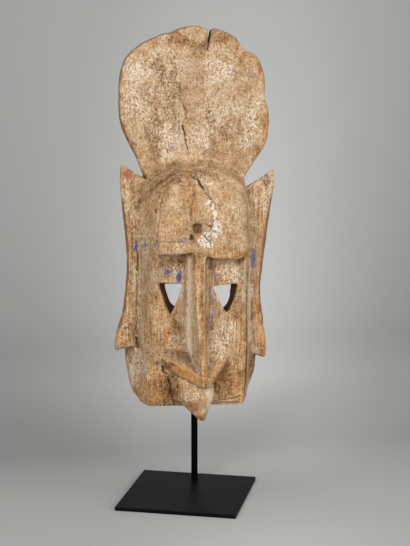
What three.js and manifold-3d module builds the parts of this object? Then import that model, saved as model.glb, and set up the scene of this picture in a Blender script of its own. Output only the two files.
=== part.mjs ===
// A carved wooden mask with a tall crest board, held up by a black steel rod on a square steel plate.
// Millimetres, +Z up. The origin is the centre of the plate's underside, and the mask faces -Y.

import * as THREE from 'three';
import { ConvexGeometry } from 'three/addons/geometries/ConvexGeometry.js';
import { mergeVertices } from 'three/addons/utils/BufferGeometryUtils.js';
import Module from 'manifold-3d';

const wasm = await Module();
wasm.setup();

// The stand. The plate is turned a little under the mask, and the rod stands near its back edge.
const PLATE_SIDE = 180;
const PLATE_THICKNESS = 6;
const PLATE_EDGE = 0.8;
const PLATE_TURN = THREE.MathUtils.degToRad(-22.3);
const ROD_RADIUS = 5;
const ROD_X = 21.4;
const ROD_Y = 57.2;
const GAP = 0.3;

// The mask is drawn with x and y measured from the rod and z from the table.
// Heights of its main lines
const FOOT_Z = 135;
const MOUTH_Z = 175;
const WIDEST_Z = 215;
const BROW_Z = 368;
const FOREHEAD_Z = 392;
const SHOULDER_Z = 476;
const DOME_Z = 508;

// Depths. The board is the plane of the crest and of the flanges.
const BOARD_Y = -7;
const CHEEK_DEPTH = 35;
const BROW_DEPTH = 58;
const WIDEST_Y = 22;
const RIM_Y = 58;
const RIM_DRAWN_IN = 4;

// Half widths, at the board and at the widest line behind it
const FACE_HALF = 86;
const SHOULDER_HALF = 77;
const BACK_HALF = 103;
const BACK_HALF_HIGH = 97;
const BACK_SHOULDER_Z = 330;
const BACK_LOWEST_Z = 100;
const FACE_CENTRE_X = -1;

// Slope of the sides of the face: depth gained for each millimetre towards the middle
const SIDE_SLOPE = 2.9;

// The raised band down the middle of the forehead
const BAND_LEFT = -13;
const BAND_RIGHT = 9;
const BAND_RAISE = 3;

// The hollow
const WALL_SIDE = 15;
const WALL_FRONT = 18;
const HOLLOW_TOP = 488;
const HOLLOW_SHOULDER_Z = 400;

// Board thicknesses and rounded edges
const CREST_THICKNESS = 18;
const CREST_EDGE = 3;
const FLANGE_THICKNESS = 11;
const FLANGE_EDGE = 1.5;

const vec2 = (x, y) => new THREE.Vector2(x, y);
const vec3 = (x, y, z) => new THREE.Vector3(x, y, z);
const mix = (a, b, t) => a + (b - a) * t;
const ramp = (value, start, end) => THREE.MathUtils.smoothstep(value, start, end);

// A quarter of a rounded arch: 1 at t = 0, falling to 0 at t = 1, squarer for a larger power
function arch(t, power) {
  return Math.sqrt(Math.max(0, 1 - Math.pow(THREE.MathUtils.clamp(t, 0, 1), power)));
}

// Half width of the face where it meets the board
function faceHalf(z) {
  if (z > SHOULDER_Z) {
    return SHOULDER_HALF * Math.pow(Math.max(0, (DOME_Z - z) / (DOME_Z - SHOULDER_Z)), 0.6);
  }
  const above = Math.max(0, (z - BROW_Z) / (SHOULDER_Z - BROW_Z));
  const below = Math.max(0, (WIDEST_Z - z) / (2.4 * (WIDEST_Z - FOOT_Z)));
  return mix(FACE_HALF, SHOULDER_HALF, above * above) * arch(below, 2.5);
}

// Half width at the widest line of the side walls, behind the board
function backHalf(z) {
  const below = (WIDEST_Z - z) / (WIDEST_Z - BACK_LOWEST_Z);
  const above = (z - BACK_SHOULDER_Z) / (DOME_Z + 4 - BACK_SHOULDER_Z);
  const behindFlange = mix(BACK_HALF, BACK_HALF_HIGH, ramp(z, WIDEST_Z + 10, WIDEST_Z + 75));
  return behindFlange * arch(Math.max(0, below), 2.5) * arch(Math.max(0, above), 2.5);
}

// How far the middle of the face stands in front of the board
function frontDepth(z) {
  if (z < BROW_Z) return CHEEK_DEPTH;
  return BROW_DEPTH * arch((z - FOREHEAD_Z) / (DOME_Z - FOREHEAD_Z), 2.6);
}

// Depth of the face at one point: the lesser of the front and the sloping side, with the corner between
// them rounded. The rounding grows from the brow up over the dome.
function faceDepth(x, z) {
  const front = Math.max(frontDepth(z), 0.5);
  const side = Math.max(SIDE_SLOPE * (faceHalf(z) - Math.abs(x)), 0.01);
  const sharpness = mix(9, 2.5, ramp(z, BROW_Z + 10, DOME_Z));
  const depth = Math.pow(Math.pow(front, -sharpness) + Math.pow(side, -sharpness), -1 / sharpness);
  const inBand = x > BAND_LEFT && x < BAND_RIGHT && z > BROW_Z;
  return inBand ? depth + BAND_RAISE * ramp(DOME_Z - z, 0, 25) : depth;
}

// Depth of the back rim behind the rod, less at the top and at the foot
function rimY(z) {
  return RIM_Y - 26 * ramp(z, 400, DOME_Z) - 8 * ramp(WIDEST_Z - z, 0, 80);
}

// Places across the face where its section is measured, closer together towards the sides
const ACROSS = [
  -1, -0.985, -0.955, -0.91, -0.86, -0.8, -0.72, -0.58, -0.4, -0.166, -0.15, 0, 0.103, 0.12,
  0.4, 0.58, 0.72, 0.8, 0.86, 0.91, 0.955, 0.985, 1,
];

// Outside of the body at one height, round from the left rim over the face to the right rim
function bodySection(z) {
  const half = faceHalf(z);
  const back = Math.max(backHalf(z), 6);
  const front = ACROSS.map((u) => vec3(FACE_CENTRE_X + u * half, BOARD_Y - faceDepth(u * half, z), z));
  const left = [vec3(-back + RIM_DRAWN_IN, rimY(z), z), vec3(-back, WIDEST_Y, z)];
  const right = [vec3(back, WIDEST_Y, z), vec3(back - RIM_DRAWN_IN, rimY(z), z)];
  return [...left, ...front, ...right];
}

// Inside of the body at one height. It runs out past the rim, so that the cut leaves the back open.
function hollowSection(z) {
  const level = Math.max(z, FOOT_Z);
  const closing = arch((level - HOLLOW_SHOULDER_Z) / (HOLLOW_TOP + 6 - HOLLOW_SHOULDER_Z), 2.5);
  const side = (Math.min(faceHalf(level), FACE_HALF) - WALL_SIDE) * closing;
  const back = (Math.min(backHalf(level), BACK_HALF) - WALL_SIDE) * closing;
  const depth = (CHEEK_DEPTH - WALL_FRONT + 12 * ramp(z, 340, 390)) * Math.max(closing, 0.3);
  const front = [];
  for (let i = 0; i <= 12; i++) {
    const angle = Math.PI * (1 - i / 12);
    const across = Math.sign(Math.cos(angle)) * Math.pow(Math.abs(Math.cos(angle)), 0.6);
    front.push(vec3(side * across, BOARD_Y - depth * Math.pow(Math.sin(angle), 0.6), z));
  }
  const left = [vec3(-back, RIM_Y + 30, z), vec3(-back, WIDEST_Y, z)];
  const right = [vec3(back, WIDEST_Y, z), vec3(back, RIM_Y + 30, z)];
  return [...left, ...front, ...right];
}

// A closed skin over sections of equal count, given from the lowest to the highest
function loft(sections) {
  const count = sections[0].length;
  const positions = sections.flat().flatMap((p) => [p.x, p.y, p.z]);
  const faces = [];
  for (let row = 0; row + 1 < sections.length; row++) {
    for (let i = 0; i < count; i++) {
      const a = row * count + i;
      const b = row * count + (i + 1) % count;
      faces.push(a, b, b + count, a, b + count, a + count);
    }
  }
  const top = (sections.length - 1) * count;
  const cap = (section) => THREE.ShapeUtils.triangulateShape(section.map((p) => vec2(p.x, p.y)), []);
  for (const [a, b, c] of cap(sections[0])) faces.push(a, c, b);
  for (const [a, b, c] of cap(sections[sections.length - 1])) faces.push(top + a, top + b, top + c);
  const geometry = new THREE.BufferGeometry();
  geometry.setAttribute('position', new THREE.Float32BufferAttribute(positions, 3));
  geometry.setIndex(faces);
  return geometry;
}

// A board of the given outline, standing upright with its front face at frontY and its edges rounded
function board(outline, frontY, thickness, edge) {
  const geometry = new THREE.ExtrudeGeometry(new THREE.Shape(outline), {
    depth: thickness - 2 * edge,
    bevelEnabled: true,
    bevelThickness: edge,
    bevelSize: edge,
    bevelOffset: -edge,
    bevelSegments: 2,
  });
  geometry.rotateX(Math.PI / 2);
  geometry.translate(0, frontY + thickness - edge, 0);
  return geometry;
}

// A wedge round the given corner points
function wedge(corners) {
  return new ConvexGeometry(corners.map(([x, y, z]) => vec3(x, y, z)));
}

// A geometry as a solid for joining and cutting
function solid(geometry) {
  const bare = geometry.clone();
  bare.deleteAttribute('normal');
  bare.deleteAttribute('uv');
  const merged = mergeVertices(bare, 1e-4);
  const vertProperties = new Float32Array(merged.attributes.position.array);
  const triVerts = new Uint32Array(merged.index.array);
  return new wasm.Manifold(new wasm.Mesh({ numProp: 3, vertProperties, triVerts }));
}

// A solid as a geometry to show
function shown(manifold) {
  const mesh = manifold.getMesh();
  const geometry = new THREE.BufferGeometry();
  geometry.setAttribute('position', new THREE.Float32BufferAttribute(mesh.vertProperties, 3));
  geometry.setIndex(Array.from(mesh.triVerts));
  geometry.computeVertexNormals();
  return geometry;
}

// Body: side walls, cheeks, brow and dome
function body() {
  const heights = [FOOT_Z];
  for (let z = FOOT_Z + 8; z < WIDEST_Z; z += 8) heights.push(z);
  heights.push(WIDEST_Z, 290, BROW_Z - 0.2, BROW_Z, BROW_Z + 6, FOREHEAD_Z);
  for (let z = FOREHEAD_Z + 14; z < DOME_Z - 22; z += 14) heights.push(z);
  heights.push(DOME_Z - 14, DOME_Z - 8, DOME_Z - 4, DOME_Z - 1);
  return solid(loft(heights.map(bodySection)));
}

function hollow() {
  const heights = [FOOT_Z - 30, FOOT_Z];
  for (let z = FOOT_Z + 16; z < WIDEST_Z; z += 16) heights.push(z);
  heights.push(WIDEST_Z, 290, 340, 365, 390, 410, 430, 448, 462, 474, 482, HOLLOW_TOP);
  return solid(loft(heights.map(hollowSection)));
}

// Crest: a tall rounded board, wider than the face, with a chip out of its top right shoulder
function crest() {
  const mainEdge = [
    vec2(-76, 479), vec2(-89.5, 511), vec2(-108.5, 553), vec2(-113.2, 598), vec2(-111.3, 627.5),
    vec2(-98.7, 660), vec2(-67.2, 682), vec2(-33.8, 693.5), vec2(-7, 702), vec2(7, 702), vec2(21, 697),
    vec2(32, 699.3), vec2(53, 691.7), vec2(69.3, 675.3), vec2(78.3, 664.9),
  ];
  const chippedEdge = [
    vec2(92.7, 660.6), vec2(104, 643), vec2(109.2, 620), vec2(109, 597), vec2(116.2, 561.5),
    vec2(112.7, 535), vec2(104.4, 517.3), vec2(86.5, 492.6), vec2(76.5, 475),
  ];
  const curve = (points, steps) => new THREE.SplineCurve(points).getPoints(steps);
  const foot = [vec2(62, 440), vec2(-62, 440)];
  const outline = [...curve(mainEdge, 34), ...curve(chippedEdge, 20), ...foot];
  return solid(board(outline, BOARD_Y, CREST_THICKNESS, CREST_EDGE));
}

// Flanges: thin wings down both sides of the face, each with a pointed upper and a flared lower tip
function flange(tip, outer, lowerTip, innerCorner, notch) {
  const edge = new THREE.SplineCurve([tip, ...outer, lowerTip]).getSpacedPoints(24);
  const inside = Math.sign(innerCorner.x) * (FACE_HALF - 8);
  const root = [innerCorner, vec2(inside, innerCorner.y + 2), vec2(inside, notch.y - 8), notch];
  const outline = [...edge, ...root];
  if (THREE.ShapeUtils.isClockWise(outline)) outline.reverse();
  return solid(board(outline, BOARD_Y + 2, FLANGE_THICKNESS, FLANGE_EDGE));
}

function leftFlange() {
  const outer = [vec2(-112.5, 475), vec2(-107.2, 413), vec2(-103, 363), vec2(-104.6, 325), vec2(-110.9, 276),
    vec2(-119.5, 245), vec2(-123, 224)];
  return flange(vec2(-110.3, 500), outer, vec2(-120.5, 216.5), vec2(-90.9, 224.6), vec2(-76, 478.5));
}

function rightFlange() {
  const outer = [vec2(123, 463), vec2(117, 422), vec2(109.5, 368), vec2(103.2, 310), vec2(106.4, 268),
    vec2(112.3, 224), vec2(113, 203)];
  return flange(vec2(122.8, 488), outer, vec2(110.5, 195.3), vec2(84.6, 209.2), vec2(82.5, 463));
}

// Nose: a long wedge with a narrow flat ridge, from the brow down to the mouth
function nose() {
  const cheek = BOARD_Y - CHEEK_DEPTH + 3;
  return solid(wedge([
    [-21, cheek, BROW_Z + 8], [16, cheek, BROW_Z + 8],
    [-21, cheek, MOUTH_Z + 14], [16, cheek, MOUTH_Z + 14],
    [-9, -68, BROW_Z + 8], [-1, -68, BROW_Z + 8],
    [-4.5, -80, MOUTH_Z], [4.5, -80, MOUTH_Z],
  ]));
}

// Muzzle: two ridges that run down from the cheeks and meet under the nose in a point
function muzzle() {
  const cheek = BOARD_Y - CHEEK_DEPTH + 4;
  const point = [
    [0, -80, MOUTH_Z + 5], [0, -78, MOUTH_Z - 7],
    [0, cheek, MOUTH_Z - 26], [0, cheek, MOUTH_Z + 26],
  ];
  const arm = (x, z) => wedge([...point, [x, cheek - 5, z + 4], [x, cheek - 5, z - 8], [x, cheek, z - 20],
    [x * 1.05, cheek, z + 8]]);
  return solid(arm(-57, 214)).add(solid(arm(45, 217)));
}

// Chin tongue: a rounded drop that hangs below the muzzle and past the foot of the face
function tongue() {
  const levels = [
    { z: 198, x: -10, y: -46, wide: 26, deep: 12 },
    { z: 180, x: -10, y: -47, wide: 31, deep: 18 },
    { z: 162, x: -7, y: -50, wide: 29, deep: 18 },
    { z: 147, x: -4, y: -53, wide: 23, deep: 15 },
    { z: 134, x: -1, y: -55, wide: 15.5, deep: 12 },
    { z: 124, x: 0, y: -57, wide: 9, deep: 8 },
    { z: 118, x: 0, y: -58, wide: 4.5, deep: 5 },
    { z: 115.5, x: 0, y: -58, wide: 1.5, deep: 2 },
  ];
  const ring = ({ z, x, y, wide, deep }) => {
    const points = [];
    for (let i = 0; i < 24; i++) {
      const angle = (2 * Math.PI * i) / 24;
      points.push(vec3(x + wide * Math.cos(angle), y + deep * Math.sin(angle), z));
    }
    return points;
  };
  return solid(loft(levels.reverse().map(ring)));
}

// Eyes: three-sided tunnels, wide in front and smaller behind, with their points down
function eye(front, back) {
  const frontY = BOARD_Y - CHEEK_DEPTH - 20;
  const backY = BOARD_Y - CHEEK_DEPTH + WALL_FRONT + 12;
  const faceY = BOARD_Y - CHEEK_DEPTH;
  const grow = 1 + (faceY - frontY) / 90;
  const centre = front.reduce((sum, [x, z]) => vec2(sum.x + x / 3, sum.y + z / 3), vec2(0, 0));
  const outer = front.map(([x, z]) => [mix(centre.x, x, grow), frontY, mix(centre.y, z, grow)]);
  return solid(wedge([...outer, ...back.map(([x, z]) => [x, backY, z])]));
}

function eyes() {
  const leftBack = [[-50, 319.5], [-24.5, 319], [-41, 290], [-33, 289]];
  const left = eye([[-60, 325], [-27.5, 323], [-46, 276]], leftBack);
  const rightBack = [[25, 314], [53, 317], [49.5, 294], [41, 284]];
  const right = eye([[21, 318], [58, 321], [46, 277]], rightBack);
  return left.add(right);
}

// The square socket in the middle of the brow
function browSocket() {
  const block = new THREE.BoxGeometry(12, 20, 16);
  block.translate(-7.5, BOARD_Y - BROW_DEPTH - 3, 408);
  return solid(block);
}

// The open crack in the top of the crest
function crestCrack() {
  const front = BOARD_Y - 5;
  const back = BOARD_Y + CREST_THICKNESS + 5;
  const mouth = [[21.5, 708], [25, 708]];
  const end = [18.6, 668];
  return solid(wedge([front, back].flatMap((y) => [...mouth, end].map(([x, z]) => [x, y, z]))));
}

function maskSolid() {
  const forms = [crest(), leftFlange(), rightFlange(), nose(), muzzle(), tongue()];
  const block = forms.reduce((sum, form) => sum.add(form), body());
  return [hollow(), eyes(), browSocket(), crestCrack()].reduce((left, cut) => left.subtract(cut), block);
}

function plateGeometry() {
  const half = PLATE_SIDE / 2;
  const outline = [vec2(-half, -half), vec2(half, -half), vec2(half, half), vec2(-half, half)];
  const geometry = new THREE.ExtrudeGeometry(new THREE.Shape(outline), {
    depth: PLATE_THICKNESS - 2 * PLATE_EDGE,
    bevelEnabled: true,
    bevelThickness: PLATE_EDGE,
    bevelSize: PLATE_EDGE,
    bevelOffset: -PLATE_EDGE,
    bevelSegments: 2,
  });
  geometry.translate(0, 0, PLATE_EDGE);
  return geometry;
}

// The rod ends just under the roof of the hollow, which rests on it
function rodGeometry() {
  const foot = PLATE_THICKNESS + GAP;
  const top = HOLLOW_TOP - GAP;
  const geometry = new THREE.CylinderGeometry(ROD_RADIUS, ROD_RADIUS, top - foot, 40);
  geometry.rotateX(Math.PI / 2);
  geometry.translate(0, 0, (top + foot) / 2);
  return geometry;
}

const wood = new THREE.MeshStandardMaterial({ color: 0xb8946c, roughness: 0.85, metalness: 0 });
const blackPlate = new THREE.MeshStandardMaterial({ color: 0x1c1c1b, roughness: 0.5, metalness: 0.2 });
const blackRod = new THREE.MeshStandardMaterial({ color: 0x101010, roughness: 0.45, metalness: 0.2 });

const object = new THREE.Group();

const plate = new THREE.Mesh(plateGeometry(), blackPlate);
plate.name = 'stand_plate';
plate.rotation.z = PLATE_TURN;
object.add(plate);

const upright = new THREE.Group();
upright.position.set(ROD_X, ROD_Y, 0);
object.add(upright);

const rod = new THREE.Mesh(rodGeometry(), blackRod);
rod.name = 'stand_rod';
upright.add(rod);

const mask = new THREE.Mesh(shown(maskSolid()), wood);
mask.name = 'mask';
upright.add(mask);

export default object;
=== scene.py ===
# %% [markdown]
# # A carved wooden mask on a steel stand
#
# The object is one block of light wood, hollow behind, held up by a rod on a plate. This script loads the
# measured model as a fixed frame, keeps its rod and plate, and makes the mask again as a fine surface with
# the tool marks, cracks, worn edges and old pigment that the plain model leaves out.
#
# Everything is drawn in millimetres from the rod's axis and from the table, because a carver would measure
# it so. Two short functions go from those numbers to the frame's metres and back.

# %% The frame, and the box that nothing may outgrow
import math

import bpy
import numpy as np
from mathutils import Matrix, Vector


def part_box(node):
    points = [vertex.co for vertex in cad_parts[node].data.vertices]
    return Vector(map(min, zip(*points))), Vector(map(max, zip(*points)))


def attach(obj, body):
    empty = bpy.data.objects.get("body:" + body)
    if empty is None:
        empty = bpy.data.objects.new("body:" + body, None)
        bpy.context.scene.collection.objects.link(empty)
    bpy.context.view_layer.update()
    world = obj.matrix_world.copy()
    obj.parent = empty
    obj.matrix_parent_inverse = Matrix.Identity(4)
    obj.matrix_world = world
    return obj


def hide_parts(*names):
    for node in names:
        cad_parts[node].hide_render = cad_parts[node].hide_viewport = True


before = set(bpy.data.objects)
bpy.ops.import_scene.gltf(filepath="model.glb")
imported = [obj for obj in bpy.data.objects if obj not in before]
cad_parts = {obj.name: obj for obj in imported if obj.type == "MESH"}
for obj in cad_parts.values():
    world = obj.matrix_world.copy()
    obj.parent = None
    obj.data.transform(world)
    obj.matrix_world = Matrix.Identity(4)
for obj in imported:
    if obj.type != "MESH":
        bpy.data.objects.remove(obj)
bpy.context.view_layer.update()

MM = 0.001
rod_low, rod_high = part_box("stand_rod")
ROD = np.array([(rod_low[0] + rod_high[0]) / 2 / MM, (rod_low[1] + rod_high[1]) / 2 / MM, 0])
print("rod axis, millimetres:", ROD[:2].round(1))


def metres(points):
    """Places in metres in the frame, from millimetres from the rod."""
    return (points + ROD) * MM


def millimetres(points):
    """Places in millimetres from the rod, from metres in the frame."""
    return points / MM - ROD


def placed(name, data):
    """A new object in the scene with this mesh, lamp or camera in it."""
    made = bpy.data.objects.new(name, data)
    bpy.context.scene.collection.objects.link(made)
    return made


# %% [markdown]
# ## Camera
#
# A camera can be placed by eye or worked out from something square in its view. These numbers were worked out
# from the four corners of the plate: they fix how far off the camera stands, how much it looks down and from
# which side it looks.

# %% Camera
CAMERA_AT = (-0.3461, -1.9199, 0.6686)
LOOKS_DOWN = math.radians(9.5)
LOOKS_RIGHT = math.radians(11)
LENS = 88.22

camera = placed("camera", bpy.data.cameras.new("camera"))
camera.data.lens = LENS
camera.location = CAMERA_AT
camera.rotation_euler = (math.pi / 2 - LOOKS_DOWN, 0, -LOOKS_RIGHT)
bpy.context.scene.camera = camera

# %% [markdown]
# ## Sizes of the carving
#
# The board is the plane of the crest and of the two flanges. The face stands in front of it, and the side
# walls of the hollow run back behind it. Heights (Z) are from the table, and places in depth (Y) from the
# rod, less than nothing in front of it.

# %% Sizes in millimetres
FOOT_Z = 135
MOUTH_Z = 175
WIDEST_Z = 215
BROW_Z = 368
FOREHEAD_Z = 392
SHOULDER_Z = 476
DOME_Z = 508
COVE_Z = 502

BOARD_Y = -7
CHEEK_DEPTH = 35
BROW_DEPTH = 58
WIDEST_Y = 22
RIM_Y = 58
RIM_LESS_AT_TOP = 26
RIM_LESS_AT_FOOT = 8

FACE_HALF = 86
SHOULDER_HALF = 77
BACK_HALF = 103
BACK_HALF_HIGH = 97
BACK_SHOULDER_Z = 330
BACK_LOWEST_Z = 100
LEFT_CHIN_FULLER = 5.5
FACE_CENTRE_X = -1
SIDE_SLOPE = 2.6
RIGHT_SLOPE = 3.8
COVE = 7
ROUNDNESS = 2.5

WALL_SIDE = 15
WALL_FRONT = 18
HOLLOW_TOP = 488
HOLLOW_SHOULDER_Z = 400

# %% [markdown]
# ## Small curves that every form uses
#
# A carved form is a height over a plane. Rounded arches, smooth ramps, bells and soft corners are enough to
# write it, and each works on a whole array of places at once.


# %% Curves
def mix(a, b, t):
    """The value a share t of the way from a to b."""
    return a + (b - a) * t


def ease(value, start, end):
    """0 before start and 1 after end, with a smooth S between: 3 t squared less 2 t cubed."""
    t = np.clip((value - start) / (end - start), 0, 1)
    return t * t * (3 - 2 * t)


def between(value, start, full, fade, end):
    """1 from full to fade, easing to 0 at start and at end."""
    return ease(value, start, full) * (1 - ease(value, fade, end))


def arch(t, power):
    """A quarter of a rounded arch: the root of 1 less t to a power, from 1 at t = 0 to 0 at t = 1."""
    return np.sqrt(1 - np.clip(t, 0, 1) ** power)


def lesser(a, b, reach):
    """The lesser of two heights, with the corner where they cross rounded over reach millimetres."""
    near = np.maximum(reach - np.abs(a - b), 0) / reach
    return np.minimum(a, b) - near * near * reach / 4


def greater(a, b, reach):
    """The greater of two heights, with the corner where they cross filled over reach millimetres."""
    return -lesser(-a, -b, reach)


def bell(value, middle, half):
    """e to the minus square of the distance in halves: 1 in the middle, about a third a half away, then
    0."""
    return np.exp(-((value - middle) / half) ** 2)


def mound(x, z, at_x, at_z, half_wide, half_high):
    """A bell over an ellipse: one bell across times one bell upwards."""
    return bell(x, at_x, half_wide) * bell(z, at_z, half_high)


# %% [markdown]
# ## Outline of the body
#
# The width at each height comes from two arches, one where the face meets the board and one at the widest
# line behind it. The numbers are those of the measured model, so the fine surface stays in its place.


# %% Widths and depths of the body
def face_half(z):
    """Half width where the face meets the board: straight up the cheeks, rounded over the dome and the
    chin."""
    over_dome = SHOULDER_HALF * (np.clip(DOME_Z - z, 0, None) / (DOME_Z - SHOULDER_Z)) ** 0.6
    above = np.clip((z - BROW_Z) / (SHOULDER_Z - BROW_Z), 0, 1)
    below = np.clip((WIDEST_Z - z) / (2.4 * (WIDEST_Z - FOOT_Z)), 0, 1)
    along = mix(FACE_HALF, SHOULDER_HALF, above * above) * arch(below, ROUNDNESS)
    return np.where(z > SHOULDER_Z, np.minimum(over_dome, SHOULDER_HALF), along)


def back_half(z):
    """Half width of the side walls at their widest line: an arch over the head and another under the
    chin."""
    below = (WIDEST_Z - z) / (WIDEST_Z - BACK_LOWEST_Z)
    above = (z - BACK_SHOULDER_Z) / (DOME_Z + 4 - BACK_SHOULDER_Z)
    behind_flange = mix(BACK_HALF, BACK_HALF_HIGH, ease(z, WIDEST_Z + 10, WIDEST_Z + 75))
    return np.maximum(behind_flange * arch(below, ROUNDNESS) * arch(above, ROUNDNESS), 6)


def rim_y(z):
    """Place of the back rim: less deep at the top of the head and at the foot."""
    return RIM_Y - RIM_LESS_AT_TOP * ease(z, 400, DOME_Z) - RIM_LESS_AT_FOOT * ease(WIDEST_Z - z, 0, 80)


# %% [markdown]
# ## Relief of the face
#
# The face is written as one height function over the board, built up in the order in which it was carved:
# the flat sides, the forehead over the brow, the cheeks set back under it, the nose, and the muzzle.
# Joining solids would do too, but a height function lets one form flow into the next.

# %% Lines, raises and slopes of the carving
BROW_LINE_X = [-80, -69, -60, -27, -15, 3, 19, 34, 51, 61, 67, 80]
BROW_LINE_Z = [374, 373, 370.5, 370.5, 373, 367, 363, 361, 360.5, 363, 368, 370]
BAND_LEFT_Z = [368, 400, 440, 458, 487]
BAND_LEFT_X = [-10, -14, -16, -9, -7]
BAND_RAISE = 3.5
GROOVE_DEPTH = 1.8
FILLET_RAISE = 2.3
CREST_COVE_SLOPE = 0.6
CREST_COVE_DEPTH = 24

FULL_LEFT = 4.0
HOLLOW_LEFT = 2.6
SET_BACK = 2.2
TEMPLE_RISE = 20
CREASE_SLOPE = 0.2
CHIN_SET_BACK = 3

NOSE_TIP_DEPTH = 73
NOSE_ROOT_DEPTH = 61
NOSE_BASE_RISE = 6
FLANK_STEP_SLOPE = 3.2
UNDER_NOSE_SLOPE = 6
CUT_SLOPE = 3

ARM_X = [-57, -53, -40, -23, -4, 3, 9, 24, 36, 46]
ARM_TOP_Z = [214, 212.5, 205.5, 198, 187, 184, 182, 192.5, 204, 214.5]
ARM_LOW_Z = [210, 205, 190, 181, 172, 170, 169.5, 182, 196, 211]
MUZZLE_DEPTH = 71
LEFT_ARM_SLOPE = 2.2
RIGHT_ARM_SLOPE = 1.5
UNDER_ARM_SLOPE = 3.8
ARM_END_SLOPE = 30
SCOOP_DEPTH = 5.5


# %% Forehead and cheeks
def above_brow(x, z):
    """How far a place lies above the brow line."""
    return z - np.interp(x, BROW_LINE_X, BROW_LINE_Z)


def forehead(x, z):
    """The dome, with a cove where it meets the crest and two faint swellings, a raised band down its
    middle, a groove on the band's left, a fillet along the brow and a worn lip over it."""
    dome = BROW_DEPTH * arch((z - FOREHEAD_Z) / (COVE_Z - FOREHEAD_Z), 2.4)
    dome = greater(dome, np.minimum(CREST_COVE_SLOPE * (DOME_Z - z), CREST_COVE_DEPTH), 8)
    left = np.interp(z, BAND_LEFT_Z, BAND_LEFT_X)
    band = between(x, left - 1.2, left + 1.2, 4, 30) * ease(DOME_Z - z, 4, 26)
    groove = bell(x, left - 7, 7) * ease(z, 376, 400) * ease(DOME_Z - z, 10, 40)
    over = above_brow(x, z)
    lip = mix(0.9, 1.8, ease(-x, -10, 20)) * (1 - ease(over, 0, 8)) ** 1.5 * ease(np.abs(x + 4), 8, 16)
    fillet = (1 - ease(over, 14, 16.5)) * between(x, -72, -68, -20, -15)
    swellings = 1.6 * mound(x, z, -38, 420, 22, 50) + 1.8 * mound(x, z, 38, 425, 24, 45)
    return dome + BAND_RAISE * band - GROOVE_DEPTH * groove - lip + swellings + FILLET_RAISE * fillet


def cheeks(x, z):
    """The planes round the eyes: set back under the brow, rising to the temples, full on the left with a
    hollow beside the nose, and creased below the right eye."""
    rounded_left = 0.011 * np.clip(-52 - x, 0, None) ** 2
    full = FULL_LEFT * mound(x, z, -60, 268, 17, 36)
    hollowed = HOLLOW_LEFT * mound(x + 0.25 * (z - 246), z, -40, 246, 9, 34)
    set_back = SET_BACK * bell(z, 352, 12)
    temple = TEMPLE_RISE * ease(z, 296, 368) * (ease(-x, 50, 67) + ease(x, 58, 70))
    crease = CREASE_SLOPE * np.clip(x - 47, 0, None) * between(z, 212, 232, 262, 292)
    chin = CHIN_SET_BACK * (1 - ease(z, FOOT_Z - 2, FOOT_Z + 12))
    return CHEEK_DEPTH + full - rounded_left - hollowed - set_back + temple - crease - chin


# %% Nose and muzzle
def nose(x, z):
    """A flat narrow ridge that deepens towards the mouth, hollow flanks, and a small steep step at their
    foot."""
    run = np.clip((z - MOUTH_Z) / (BROW_Z - MOUTH_Z), -0.05, 1.05)
    ridge_x = np.interp(run, [0, 0.6, 1], [1.2, -4.2, -4])
    ridge_depth = mix(NOSE_TIP_DEPTH, NOSE_ROOT_DEPTH, run)
    aside = x - ridge_x
    away = np.maximum(np.abs(aside) - np.interp(run, [0, 0.3, 0.6, 1], [4.2, 4.6, 7, 7.2]), 0)
    reach = np.where(aside < 0, mix(15, 9.5, run), mix(9.0, 11.5, run))
    share = np.clip(away / reach, 0, 1)
    foot = CHEEK_DEPTH + NOSE_BASE_RISE
    flank = ridge_depth - (ridge_depth - foot) * np.interp(share, [0, 0.52, 1], [0, 0.8, 1])
    step = FLANK_STEP_SLOPE * np.maximum(away - reach, 0)
    under = UNDER_NOSE_SLOPE * np.maximum(MOUTH_Z - 3 - z, 0)
    cut_away = CUT_SLOPE * np.maximum(228 - 1.95 * (x + 21) - z, 0) * ease(-aside, 4.5, 7)
    return flank - step - under - cut_away


def muzzle(x, z):
    """Two arms from the cheeks to the point under the nose: an upright front, a slope above, steep
    below."""
    share = np.where(x < 0, x / ARM_X[0], x / ARM_X[-1])
    above = np.maximum(z - np.interp(x, ARM_X, ARM_TOP_Z), 0)
    below = np.maximum(np.interp(x, ARM_X, ARM_LOW_Z) - z, 0)
    front = mix(MUZZLE_DEPTH, CHEEK_DEPTH + 2, share)
    slope = np.where(x < 0, LEFT_ARM_SLOPE, RIGHT_ARM_SLOPE)
    return front - slope * above - UNDER_ARM_SLOPE * below - ARM_END_SLOPE * np.maximum(share - 1, 0)


def scoop(x, z):
    """How much of the left cheek is scooped away above the muzzle."""
    upper = np.interp(x, [-62, -50, -38, -18, -4], [217, 223, 223, 217, 200])
    return SCOOP_DEPTH * between(z, 180, 192, upper - 3, upper + 2) * between(x, -62, -50, -6, -1)


# %% The whole face
def relief(x, z):
    """Depth of the face in front of the board. The front is the brow above the brow line and the cheeks,
    the nose and the muzzle below it. The sides slope, and the corner between front and side is a power mean
    of both, crisp at the brow and rounder up the dome."""
    lower = greater(cheeks(x, z) - scoop(x, z), muzzle(x, z), 1.5)
    lower = greater(lower, nose(x, z), 1.5)
    front = mix(lower, forehead(x, z), ease(above_brow(x, z), -0.8, 0.8))
    front = np.maximum(front, 0.5)
    inward = np.maximum(face_half(z) - np.abs(x - FACE_CENTRE_X), 0.004)
    cove = COVE * ease(z, 462, 490)
    right = ease(x, 20, 60) * ease(z, BROW_Z - 6, BROW_Z + 10)
    slope = mix(SIDE_SLOPE, RIGHT_SLOPE, right)
    side = slope * np.maximum(inward - cove, 0) + 0.5 * np.minimum(inward, cove) + 0.3 * inward
    sharpness = mix(mix(9, 4.2, right), 2.3, ease(z, BROW_Z + 8, 455))
    return (front ** -sharpness + side ** -sharpness) ** (-1 / sharpness)


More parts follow.
